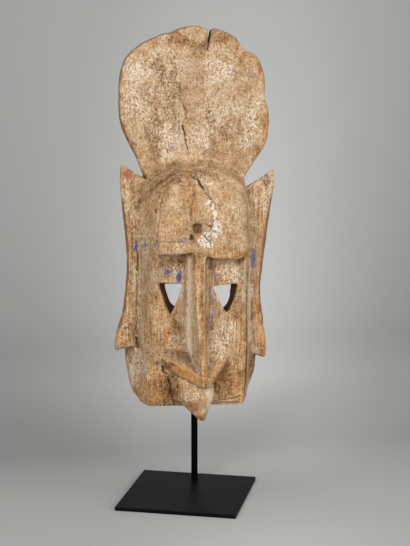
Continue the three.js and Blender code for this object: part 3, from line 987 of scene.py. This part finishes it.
# The pale place on the dome's left side wall at (-83, 414) is painted light on a steep wall.
PALE = [
    (-87, 634, 18, 16, 0.9), (-87, 597, 16, 24, 0.9), (-36, 539, 22, 30, 1.0), (7, 536, 17, 24, 1.0),
    (-42, 670, 17, 14, 0.8), (43, 641, 28, 24, 0.9), (86, 570, 15, 28, 0.85), (82, 535, 13, 20, 0.8),
    (28, 658, 16, 14, 0.4), (50, 340, 24, 16, 0.9), (29, 232, 22, 26, 0.8), (46, 251, 12, 22, 0.6),
    (-37, 236, 14, 14, 0.6), (12, 164, 8, 12, 0.6), (0, 590, 104, 86, 0.4), (101, 575, 9, 40, 0.6),
    (-41, 343, 22, 11, 0.9), (-11, 310, 4, 50, 0.8), (-106, 255, 10, 40, 0.6), (78, 440, 6, 40, 0.7),
    (83, 280, 4, 70, 0.8), (-88, 190, 10, 26, 0.7), (-70, 600, 30, 40, 0.4), (30, 570, 30, 40, 0.6),
    (-104, 590, 10, 60, 0.5), (48, 424, 26, 32, 0.5), (-83, 414, 13, 46, 0.8), (-88, 300, 5, 60, 0.5),
    (-14, 158, 18, 14, 0.6), (-110, 270, 10, 50, 0.7), (111, 450, 10, 40, 0.45), (-104, 430, 8, 50, 0.5),
    (5, 478, 11, 9, 0.8), (-48, 378, 32, 8, 0.9),
]
# Dark places darken and grey the wood. Those under the brow at (-41, 352) and (16, 353) and on the right side
# wall at (97, 176) are painted shade.
DARK = [
    (-61, 643, 12, 10, 0.7), (-24, 609, 10, 15, 0.7), (-63, 585, 7, 30, 0.5), (-23, 568, 6, 26, 0.5),
    (50, 547, 7, 14, 0.6), (-71, 561, 9, 18, 0.5), (-46, 478, 30, 11, 0.65, 30), (114, 473, 6, 5, 0.9, 30),
    (-22, 470, 18, 12, 0.4, 20), (-6, 489, 46, 12, 0.5), (48, 482, 22, 10, 0.35, -25),
    (-41, 352, 22, 13, 0.8), (16, 353, 12, 9, 0.8), (20, 684, 62, 14, 0.55), (-48, 164, 15, 26, 0.8),
    (34, 162, 15, 22, 0.6), (97, 176, 12, 40, 0.8), (-58, 545, 7, 60, 0.6, 4), (22, 540, 6, 44, 0.5),
    (98, 500, 8, 24, 0.5), (-100, 535, 9, 26, 0.5, 20), (-50, 630, 10, 12, 0.5), (-76, 606, 10, 12, 0.4),
    (-26, 214, 22, 9, 0.4, -20), (-34, 252, 8, 22, 0.6, 20), (0, 290, 4, 50, 0.4), (92, 300, 7, 60, 0.35),
    (-60, 172, 12, 22, 0.5), (43, 176, 12, 24, 0.7), (-72, 239, 12, 14, 0.4), (-57, 204, 9, 8, 0.7),
    (56, 292, 10, 30, 0.5), (-42, 142, 12, 9, 0.6), (54, 207, 12, 9, 0.4), (-30, 610, 8, 60, 0.6, 5),
    (-40, 600, 9, 26, 0.5), (60, 560, 7, 30, 0.4, 8), (14, 452, 4, 16, 0.5, 15),
]
WARM = [
    (-22, 460, 10, 18, 0.6), (-40, 412, 24, 26, 0.5), (-58, 378, 24, 6, 0.9), (-24, 376, 18, 6, 0.9),
    (36, 452, 18, 18, 0.4), (42, 408, 22, 24, 0.4), (26, 369, 26, 6, 0.8), (66, 372, 10, 8, 0.9),
    (-30, 192, 26, 8, 1.0, -22), (0, 240, 4.5, 66, 0.6), (0, 122, 9, 12, 0.9), (76, 660, 16, 8, 0.8),
    (-97, 400, 8, 80, 0.5), (-104, 300, 8, 70, 0.7), (104, 400, 9, 60, 0.4), (-64, 280, 18, 26, 0.5),
    (110, 560, 6, 40, 0.7), (-100, 520, 8, 20, 0.6), (-66, 165, 34, 34, 0.7), (52, 168, 34, 34, 0.7),
    (-66, 250, 24, 34, 0.5), (62, 240, 20, 60, 0.4), (-8, 462, 12, 40, 0.5), (-80, 420, 14, 44, 0.9),
    (-112, 262, 14, 56, 1.0), (-109, 478, 4, 22, 0.9), (0, 520, 60, 12, 0.4), (20, 682, 70, 20, 0.35),
    (100, 590, 16, 60, 0.4), (106, 240, 12, 50, 0.6), (-10, 160, 24, 24, 0.4),
]

# %% Lines of (x, z, width) places
CREAM_LINES = [
    [(-16.5, 362, 3.0), (-17, 300, 3.4), (-18, 240, 3.6), (-15.5, 216, 2.4), (-6, 192, 1.2)],
    [(83, 352, 1.8), (84, 290, 2.6), (84, 225, 2.6)], [(8, 164, 4), (14, 154, 6), (9, 138, 3)],
    [(-98, 190, 3), (-95, 160, 3)], [(3.5, 366, 1.2), (4.5, 300, 1.0)],
]
HONEY_LINES = [
    [(-2.5, 366, 3.2), (-1, 300, 3.6), (1.2, 236, 4.0), (2.5, 176, 4.4)],
    [(-53, 208, 3), (-40, 197, 7.5), (-23, 189, 8), (-5, 179, 7)],
    [(9, 175, 4), (25, 187.5, 4.5), (37, 200, 4), (46, 213, 2)],
    [(20, 363, 1.5), (40, 363, 3), (64, 369, 4)], [(1, 126, 6), (0, 114, 8)],
    [(-38, 268, 3), (-48, 244, 5), (-58, 226, 4)], [(-11, 360, 3), (-11, 320, 3.5), (-11.5, 280, 2)],
]
SHADE_LINES = [
    [(-47, 218, 2.5), (-34, 214, 4), (-17, 205, 4), (-4, 190.5, 1.8)], [(7, 300, 1.5), (8, 240, 1.5)],
    [(20, 176, 3), (33, 185, 5), (45, 199, 4)],
    [(-10, 477, 2), (-10, 455, 2.5), (-16, 440, 2.5), (-16, 420, 1.5)], [(86, 222, 1.6), (87, 165, 1.2)],
    [(-68, 391.5, 1.8), (-20, 389.5, 1.8)],
]
RUST_LINES = [
    [(x + 1.5, z, 1.6) for x, z in LEFT_OUTER[1:7]],
    [(x - 2.4, z, 2.6) for x, z in RIGHT_OUTER[1:6]],
]
RIM_IN = 0.965
RIM_LINE = [(x * RIM_IN, mix(CREST_MIDDLE[1], z, RIM_IN), 2.6) for x, z in CREST_LEFT + CREST_RIGHT]
SLOT_LINE = [(23, 699, 3.0), (22, 686, 2.4), (18.8, 666, 1.2)]


# %% From places to numbers
def patch(x, z, places):
    """The strongest of several soft ellipses: each full in its middle, easing to 0 a quarter outside its
    edge."""
    strongest = np.zeros(len(x))
    for at_x, at_z, wide, high, strength, *lean in places:
        turn = math.radians(sum(lean))
        right = (x - at_x) * math.cos(turn) + (z - at_z) * math.sin(turn)
        up = (z - at_z) * math.cos(turn) - (x - at_x) * math.sin(turn)
        inside = 1 - ease(np.hypot(right / wide, up / high), 0.55, 1.25)
        strongest = np.maximum(strongest, strength * inside)
    return strongest


def near_lines(places, lines):
    """How near the nearest of several lines is, 1 on it."""
    return np.max([near_line(*places, line) for line in lines], axis=0)


def remember_pigment(mesh):
    """Stores how strongly each colour lies at each point: ellipses seen through noise, so that they end
    ragged, and lines seen through a little bend. Colours lie on what faces forwards."""
    points = points_of(mesh)
    x, _, z = points.T
    bends = bent(points)
    facing = ease(-normals_of(mesh)[:, 1], -0.1, 0.35)
    wider = mix(1, 1.7, ease(z, 500, 530))
    ragged_x = x + wider * (7 * noise(points, 17.0) + 4 * noise(points, 6.0))
    ragged_z = z + wider * (9 * noise(points + 50.0, 19.0) + 5 * noise(points + 50.0, 7.0))
    close_x = x + 1.8 * noise(points, 4.0)
    close_z = z + 2.5 * noise(points + 50.0, 5.0)
    for name, places in (("red", RED), ("pale", PALE), ("dark", DARK), ("warm", WARM)):
        store(mesh, name, facing * patch(ragged_x, ragged_z, places))
    for name, lines in (("cream", CREAM_LINES), ("honey", HONEY_LINES), ("shade", SHADE_LINES)):
        store(mesh, name, facing * near_lines(bends, lines))
    store(mesh, "chalk", facing * patch(close_x, close_z, CHALK))
    ring = np.abs(np.hypot(x - BLUE_RING[0], z - BLUE_RING[1]) - BLUE_RING[2])
    store(mesh, "blue", facing * np.maximum(patch(close_x, close_z, BLUE), 0.8 * (1 - ease(ring, 0.8, 2.2))))


# %% Wear, dirt, edges and cracks
def remember_wear(mesh):
    """Stores wear from what stands out and dirt with painted shade from what lies deep, the dark inside with
    painted shade on the eye walls, the rubbed and rusty edges, painted shade on the crest's edges, the
    streaks of grain, and the cracks with their painted shade and the painted shadow lines."""
    points, normals = points_of(mesh), normals_of(mesh)
    x, y, z = points.T
    close, broad = stored(mesh, "stands out"), stored(mesh, "stands out broadly")
    store(mesh, "wear", ease(close, 0.06, 0.35) * 0.6 + ease(broad, 0.3, 1.6) * 0.6)
    # Dirt and painted shade lie where a point lies deeper than its surroundings.
    store(mesh, "dirt", ease(-close, 0.05, 0.4) * 0.6 + ease(-broad, 0.25, 1.6) * 0.7)

    # Inside is what faces the middle of the hollow from its walls. The walls of the eyes are darkest: a dark
    # stain with painted shade in the eye holes.
    inwards = normals[:, 0] * x + normals[:, 1] * (y - 35) + normals[:, 2] * (z - z.clip(160, 430)) < -4
    within = (y > BOARD_Y - CHEEK_DEPTH + 2) & (np.abs(x) < back_half(z) - 3) & (z < HOLLOW_TOP + 3)
    round_eyes = (np.abs(x) < 66) & (z > 262) & (z < 334)
    eye_wall = (y > BOARD_Y - CHEEK_DEPTH + 3) & round_eyes & (normals[:, 1] < 0.5)
    inside = np.maximum(1.0 * (inwards & within), 1.5 * eye_wall)
    store(mesh, "inside", relaxed(mesh, np.stack([inside] * 3, axis=-1), 1)[:, 0])

    # Red-brown lies along the flanges' outer edges. Painted shade, darkest on the left, and a rubbed rim lie
    # along the crest's edges.
    bends = bent(points)
    on_flange = ease(np.abs(x), 98, 102) * between(z, 235, 270, 425, 470)
    store(mesh, "rust", np.maximum(ease(broad, 0.6, 1.4), 1.1 * near_lines(bends, RUST_LINES)) * on_flange)
    on_crest = (1 - inside) * (z > DOME_Z) * (y < BOARD_Y + CREST_THICKNESS - 1)
    store(mesh, "edge", ease(normals[:, 1], -0.75, -0.2) * on_crest * mix(1, 0.3, ease(x, 20, 90)))
    store(mesh, "rim", near_line(*bends, RIM_LINE) * on_crest * mix(0.12, 0.9, ease(x, 20, 90)))
    # Streaks of grain are strong on the side walls and the cheeks and faint on the forehead and the crest.
    beside_board = ease(np.abs(x), 86, 91) * (z < 500)
    store(mesh, "grain", mix(1, 0.45, ease(z, 372, 386) * (1 - beside_board)) + 0.3 * beside_board)
    store(mesh, "arcs", arcs(points))

    # A crack that is cut 4 mm deep is quite dark, and a shallower one less so: dirt and painted shade in the
    # cracks, and painted shadow along the foot, in the seams and in the left notch.
    facing = ease(-normals[:, 1], -0.1, 0.35)
    crack = facing * sum(min(deep / 4, 1) * near_line(*bends, line) for deep, line in CRACKS_AND_SHADOW_LINES)
    store(mesh, "crack", np.maximum(crack, near_line(x, z, SLOT_LINE)).clip(0, 1))


remember_pigment(mask.data)
remember_wear(mask.data)
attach(mask, "root")
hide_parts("mask")
print("mask box, metres:", [round(v, 4) for corner in (mask.bound_box[0], mask.bound_box[6]) for v in corner])


# %% [markdown]
# ## Writing a material as sums
#
# A node tree is a formula drawn with wires. `Signal` wraps one socket and overloads the operators, so that
# a formula can be written as one, and `Finish.node` makes any other node from its type, settings and
# inputs.


# %% Signals and finishes
class Signal:
    """One output socket that can be added, multiplied and so on, each time through a Math node."""

    def __init__(self, finish, socket):
        self.finish = finish
        self.socket = socket

    def math(self, operation, *values):
        """What a Math node makes of the values."""
        return self.finish.node("ShaderNodeMath", {"operation": operation}, dict(enumerate(values)))

    def __add__(self, other):
        return self.math("ADD", self, other)

    __radd__ = __add__

    def __sub__(self, other):
        return self.math("SUBTRACT", self, other)

    def __rsub__(self, other):
        return self.math("SUBTRACT", other, self)

    def __mul__(self, other):
        return self.math("MULTIPLY", self, other)

    __rmul__ = __mul__

    def ramp(self, start, end):
        """0 before start and 1 after end, with a smooth S between."""
        return self.finish.node("ShaderNodeMapRange", {"interpolation_type": "SMOOTHSTEP"},
                                {"Value": self, "From Min": start, "From Max": end})


class Finish:
    """A material in the making, with its node tree."""

    def __init__(self, name):
        self.material = bpy.data.materials.new(name)
        self.material.use_nodes = True
        self.tree = self.material.node_tree
        self.shader = self.tree.nodes["Principled BSDF"]

    def node(self, kind, settings, inputs, output=0):
        """A node of this kind: its settings first, then its inputs by name or number."""
        made = self.tree.nodes.new(kind)
        for name, value in settings.items():
            if name == "stops":
                self.set_stops(made.color_ramp.elements, value)
            else:
                setattr(made, name, value)
        self.feed(made, inputs)
        return Signal(self, made.outputs[output])

    def set_stops(self, elements, stops):
        """Places a ramp's colours, given as (position, colour)."""
        while len(elements) < len(stops):
            elements.new(1)
        for element, (position, colour) in zip(elements, stops):
            element.position = position
            element.color = colour

    def feed(self, node, inputs):
        """Links signals to a node's inputs and sets the others to plain values."""
        for name, value in inputs.items():
            if isinstance(value, Signal):
                self.tree.links.new(value.socket, node.inputs[name])
            else:
                node.inputs[name].default_value = value

    def blend(self, share, first, second, how="MIX"):
        """The first colour where share is 0 and, where it is 1, the second, or the first changed by it."""
        return self.node("ShaderNodeMix", {"data_type": "RGBA", "blend_type": how},
                         {0: share, 6: first, 7: second}, 2)

    def noise(self, place, scale, detail, rough=0.55, warp=0.0, upwards=1):
        """Noise of a scale per millimetre, spread round a half, and drawn out where its scale upwards is
        less."""
        if upwards != 1:
            place = self.times(place, (1, 1, upwards))
        return self.node("ShaderNodeTexNoise", {}, {"Vector": place, "Scale": scale, "Detail": detail,
                                                    "Roughness": rough, "Distortion": warp})

    def times(self, place, by):
        """A place with its three directions multiplied."""
        return self.node("ShaderNodeVectorMath", {"operation": "MULTIPLY"}, {0: place, 1: by})

    def bump(self, height, strength, distance):
        """Normals tilted as if the surface stood this high."""
        return self.node("ShaderNodeBump", {}, {"Height": height, "Strength": strength, "Distance": distance})

    def attribute(self, name):
        """A number stored on the mesh."""
        return self.node("ShaderNodeAttribute", {"attribute_name": name}, {}, "Fac")

    def place(self):
        """The place on the object in millimetres."""
        return self.times(self.node("ShaderNodeTexCoord", {}, {}, "Object"), (1 / MM,) * 3)


def cover(mesh, finish):
    """Gives the mesh this finish and no other."""
    mesh.materials.clear()
    mesh.materials.append(finish.material)


# %% [markdown]
# ## Old painted wood
#
# The wood is laid up as it aged: bare wood with its grain, a thin pale earth coat that has worn to patches,
# pits, dirt and painted shade in what lies deep, painted shade along lines and along the crest's edges,
# polish on the edges, and last the remains of blue, red and white pigment. Each coat has a place from the
# stored attributes and a ragged edge from noise.

# %% Wood colours
TONES = [(0.0, (0.071, 0.033, 0.012, 1)), (0.22, (0.214, 0.11, 0.044, 1)), (0.45, (0.408, 0.239, 0.115, 1)),
         (0.68, (0.561, 0.384, 0.228, 1)), (1.0, (0.755, 0.621, 0.465, 1))]
HONEY = (0.50, 0.265, 0.105, 1)
HONEY_TINT = (0.93, 0.76, 0.52, 1)
WARM_TINT = (1.0, 0.83, 0.60, 1)
GREY_TINT = (0.61, 0.55, 0.49, 1)
# Dark brown of dirt and of painted shade, in what lies deep and along the shade lines.
DIRT_AND_SHADE_BROWN = (0.11, 0.058, 0.027, 1)
PORE_TINT = (0.27, 0.19, 0.125, 1)
# Painted shade on the crest's edges.
CREST_EDGE_SHADE = (0.15, 0.078, 0.036, 1)
# Dark brown of the cracks with their painted shade, and of the painted shadow lines.
CRACK_AND_SHADE_BROWN = (0.062, 0.031, 0.014, 1)
CREAM = (0.81, 0.695, 0.54, 1)
CREAM_EDGE = (0.76, 0.61, 0.44, 1)
BLUE_WASH = (0.24, 0.22, 0.36, 1)
BLUE_PAINT = (0.055, 0.045, 0.20, 1)
RED_PAINT = (0.31, 0.10, 0.05, 1)
CHALK_WHITE = (0.82, 0.75, 0.64, 1)
HOLLOW_WOOD = (0.13, 0.068, 0.032, 1)
# Dark stain and painted shade on the eye walls.
EYE_BROWN = (0.065, 0.026, 0.008, 1)
RUST = (0.17, 0.062, 0.030, 1)


# %% Carved wood
def carved_wood():
    """Tones of bare wood from noise of six sizes, then each coat over what lies under it."""
    finish = Finish("carved wood")
    place, blend = finish.place(), finish.blend
    # From clouds as wide as a hand down to grit, then what is drawn out along the grain, long or a little.
    clouds = finish.noise(place, 0.018, 3, 0.55, 0.3)
    blots = finish.noise(place, 0.075, 4, 0.62, 0.4)
    crumbs = finish.noise(place, 0.24, 3, 0.6, 0.3)
    grit = finish.noise(place, 0.55, 2, 0.5)
    streaks = finish.noise(place, 0.32, 3, 0.6, 0.4, upwards=0.1)
    fibre = finish.noise(place, 0.8, 2, upwards=0.06)
    flecks = finish.noise(place, 0.40, 1, 0.5, 0.6, upwards=0.55)
    pits = finish.noise(place, 0.46, 1, 0.5, 0.3, upwards=0.7)
    pale, dark, warm, grain, streaked, wear, dirt, shade, cream, honey, rim, edge, rust = map(
        finish.attribute, "pale dark warm grain arcs wear dirt shade cream honey rim edge rust".split())
    red, blue, chalk, crack, inside = map(finish.attribute, "red blue chalk crack inside".split())

    def coat(under, spread, ends, kept_to, gate, strength, paint, how="MIX"):
        """A paint laid over a colour: its ragged spread, from none to full between two levels, times the
        place it is kept to, which opens between two levels of its own, times its strength."""
        return blend(spread.ramp(*ends) * kept_to.ramp(*gate) * strength, under, paint, how)

    crust = (clouds * 0.9 + pale * 0.45 + dark * 0.25 - 0.35).ramp(0.0, 0.6)
    tone = clouds * 0.6 + blots * 0.85 + (crumbs - 0.5) * (crust * 1.2 + 0.6) + (grit - 0.5) * 0.85 + 0.25
    tone = tone + ((streaks - 0.5) * 0.9 + (fibre - 0.5) * 0.45) * grain + streaked * 0.14
    tone = tone + pale * 0.19 - dark * 0.16 - warm * 0.06 - 0.405
    colour = finish.node("ShaderNodeValToRGB", {"stops": TONES}, {"Fac": tone})
    warmed = (warm * 0.9 + blots * 0.9 - pale * 0.4 - 0.42).ramp(0.0, 0.9)
    colour = blend(warmed, colour, WARM_TINT, "MULTIPLY")
    greyed = (dark * 0.9 + clouds * 0.5 + crumbs * 0.4 - 0.4).ramp(0.1, 0.9)
    colour = blend(greyed * 0.8, colour, GREY_TINT, "MULTIPLY")
    speckle = (flecks + pale * 0.09).ramp(0.595, 0.67)
    colour = blend(speckle * (0.22 + pale * 0.42), colour, CREAM)
    pores = (pits * 0.8 + blots * 0.2 + pale * 0.03 + dark * 0.03).ramp(0.575, 0.64)
    colour = blend(pores * (crust * 0.5 + 0.25), colour, PORE_TINT, "MULTIPLY")

    colour = coat(colour, shade + crumbs * 0.9 - 0.5, (0.0, 0.8), shade, (0.0, 0.3), 0.32, DIRT_AND_SHADE_BROWN)
    chipped = cream + fibre * 1.5 + crumbs - 1.3
    colour = coat(colour, chipped, (0.0, 0.8), cream, (0.0, 0.25), 0.75, CREAM_EDGE)
    rubbed = honey + fibre * 0.6 + crumbs * 0.6 - 0.75
    colour = coat(colour, rubbed, (0.0, 0.7), honey, (0.0, 0.2), 0.9, HONEY_TINT, "MULTIPLY")
    colour = blend(rim * (crumbs * 1.4 - 0.1), colour, WARM_TINT, "MULTIPLY")
    # Painted shade along the crest's edges, darkest on the left.
    colour = blend(edge * 0.7, colour, CREST_EDGE_SHADE)
    polish = (wear * 0.8 + blots * 1.2 + warm * 0.35 - 1.0).ramp(0.2, 0.7) * 0.6
    colour = blend(polish, colour, HONEY)
    colour = coat(colour, rust + crumbs * 0.8 - 0.4, (0.1, 0.7), rust, (0.0, 0.4), 0.72, RUST)
    # Dirt and painted shade darken what lies deep.
    colour = blend((dirt * 1.1 + crumbs * 0.8 - 0.7).ramp(0.1, 0.9) * 0.75, colour, DIRT_AND_SHADE_BROWN)

    colour = coat(colour, red + crumbs * 1.6 - 0.95, (0.0, 0.7), red, (0.0, 0.3), 0.75, RED_PAINT)
    washed = blue + grit * 1.5 + fibre * 0.6 - 1.3
    colour = coat(colour, washed, (0.0, 0.7), blue, (0.0, 0.3), 0.6, BLUE_WASH)
    brushed = blue * 0.9 + fibre * 0.9 + crumbs * 1.2 - pits * 1.1 - 1.0
    colour = coat(colour, brushed, (0.0, 0.45), blue, (0.1, 0.5), 0.85, BLUE_PAINT)
    plaster = chalk * 1.1 + crumbs * 1.8 + grit * 1.2 - pits * 1.2 - 1.4
    colour = coat(colour, plaster, (0.0, 0.5), chalk, (0.0, 0.3), 0.85, CHALK_WHITE)
    # Dirt and painted shade in the cracks, and the painted shadow lines.
    colour = coat(colour, crack + crumbs * 0.9 - 0.45, (0.15, 0.75), crack, (0.05, 0.4), 0.92, CRACK_AND_SHADE_BROWN)
    colour = blend(inside.ramp(0.0, 1.0) * 0.85, colour, HOLLOW_WOOD)
    # Dark stain and painted shade on the eye walls.
    colour = blend(inside.ramp(1.05, 1.4), colour, EYE_BROWN)

    relief_of_grain = finish.bump(streaks * 0.4 + crumbs * 0.9 + grit * 0.5 - pores * 0.6, 0.6, 0.0014)
    finish.feed(finish.shader, {"Base Color": colour, "Roughness": polish * -0.2 + 0.9,
                                "Normal": relief_of_grain, "Specular IOR Level": 0.2})
    print("carved wood:", len(finish.tree.nodes), "nodes")
    return finish


cover(mask.data, carved_wood())

# %% [markdown]
# ## Black steel
#
# The stand is mild steel under satin black paint. One plain black would do from afar, but it would look
# like plastic: specks of dust, a cloudy roughness and a fine bump make it painted metal. The plate is a
# little glossier than the rod, which is handled more.

# %% Stand
DUST = (0.08, 0.076, 0.07, 1)
PLATE_BLACK = (0.0025, 0.0025, 0.0020, 1)
ROD_BLACK = (0.0006, 0.0006, 0.0005, 1)


def black_steel(name, colour, roughness, gloss):
    """Black paint with specks of dust, a cloudy roughness and a fine orange-peel bump."""
    finish = Finish(name)
    place = finish.place()
    dusty = finish.noise(place, 0.9, 2).ramp(0.66, 0.74) * 0.12
    rubbed = finish.noise(place, 0.02, 3) * 0.12 + roughness
    peel = finish.bump(finish.noise(place, 1.6, 2), 0.12, 0.0002)
    finish.feed(finish.shader, {"Base Color": finish.blend(dusty, colour, DUST), "Roughness": rubbed,
                                "Normal": peel, "Specular IOR Level": gloss})
    return finish


cover(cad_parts["stand_plate"].data, black_steel("stand_plate paint", PLATE_BLACK, 0.42, 0.08))
cover(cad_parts["stand_rod"].data, black_steel("stand_rod paint", ROD_BLACK, 0.5, 0.05))

# %% [markdown]
# ## Floor, backdrop and light
#
# A studio backdrop is one sheet of paper: flat under the object, curved up behind it. How the light falls
# off over it is stored on the sheet, so that the lamps need to light only the object well: one large soft
# box in front on the left, a weaker one on the right, a faint one overhead, and a pale room.

# %% Backdrop
FLOOR_BACK = 1.1
SWEEP_RADIUS = 0.9
PAPER = 0.52
PAPER_WHITE = (1.0, 1.0, 0.985, 1)
# At these distances back along the paper: how pale it is, and how much paler in the pool of light behind the
# object, whose middle and width change with the distance. LEVEL and the GLOW values were not chosen by hand:
# another program fitted them by least squares to how bright the backdrop is in the photo beside a render.
LEVEL_AT = [-0.2, 0.0, 0.25, 0.7, 1.2, 2.4]
LEVEL = [0.78, 0.76, 0.55, 0.71, 0.75, 0.88]
GLOW = [0.17, 0.07, 0.42, 0.91, 0.89, 0.26]
GLOW_X = 0.12
GLOW_DRIFT = 0.18
GLOW_WIDE = 0.19
GLOW_SPREAD = 0.10


def backdrop():
    """A floor profile carried sideways: flat, then a quarter circle, then straight up, in metres. How pale
    the paper is at each place is stored with it: a level along the profile, and a bell of glow across
    it."""
    along = heights((-4, -0.5, 0.5), (-0.5, 1.1, 0.05), (1.1, 2.5, 0.07), (2.5, 5.5, 0.1))[:, None]
    turn = np.clip((along - FLOOR_BACK) / SWEEP_RADIUS, 0, math.pi / 2)
    y = np.minimum(along, FLOOR_BACK) + SWEEP_RADIUS * np.sin(turn)
    z = SWEEP_RADIUS * (1 - np.cos(turn)) + np.maximum(along - FLOOR_BACK - SWEEP_RADIUS * math.pi / 2, 0)
    x = np.linspace(-4, 4, 161)[None]
    grid = np.stack(np.broadcast_arrays(x, y, z), axis=-1)
    glow = bell(x, GLOW_X + GLOW_DRIFT * along, GLOW_WIDE + GLOW_SPREAD * along.clip(-0.5, 3))
    level = np.interp(along, LEVEL_AT, LEVEL) + np.interp(along, LEVEL_AT, GLOW) * glow
    index = np.arange(grid.shape[0] * grid.shape[1]).reshape(grid.shape[:2])
    quads = quads_between(index[:, :-1], index[:, 1:])
    mesh = bpy.data.meshes.new("backdrop")
    mesh.from_pydata(grid.reshape(-1, 3).tolist(), [], quads.tolist())
    mesh.shade_smooth()
    store(mesh, "level", level.ravel() * PAPER)
    return placed("backdrop", mesh)


paper = Finish("pale paper")
shaded = paper.blend(1.0, paper.attribute("level"), PAPER_WHITE, "MULTIPLY")
paper.feed(paper.shader, {"Base Color": shaded, "Roughness": 0.9})
sweep = backdrop()
cover(sweep.data, paper)


# %% Lamps and room
def soft_box(name, at, aim, size, power):
    """A rectangular area light that faces a point."""
    lamp = placed(name, bpy.data.lights.new(name, "AREA"))
    lamp.data.shape = "RECTANGLE"
    lamp.data.size, lamp.data.size_y = size
    lamp.data.energy = power
    lamp.location = at
    along_x, along_y, along_z = np.array(aim, float) - at
    lamp.rotation_euler = (math.atan2(math.hypot(along_x, along_y), -along_z), 0,
                           math.atan2(along_y, along_x) - math.pi / 2)


soft_box("key light", (-1.2, -2.1, 1.5), (0, 0, 0.45), (1.2, 1.2), 42)
soft_box("fill light", (1.6, -1.9, 1.1), (0, 0, 0.45), (1.4, 1.4), 32)
soft_box("top light", (0.1, 0.3, 2.4), (0, 0, 0), (1.8, 1.2), 10)

ROOM_LIGHT = 0.32
world = bpy.data.worlds.new("room")
world.use_nodes = True
world.node_tree.nodes["Background"].inputs["Color"].default_value = (1, 1, 1, 1)
world.node_tree.nodes["Background"].inputs["Strength"].default_value = ROOM_LIGHT
bpy.context.scene.world = world
bpy.context.scene.view_settings.view_transform = "Standard"
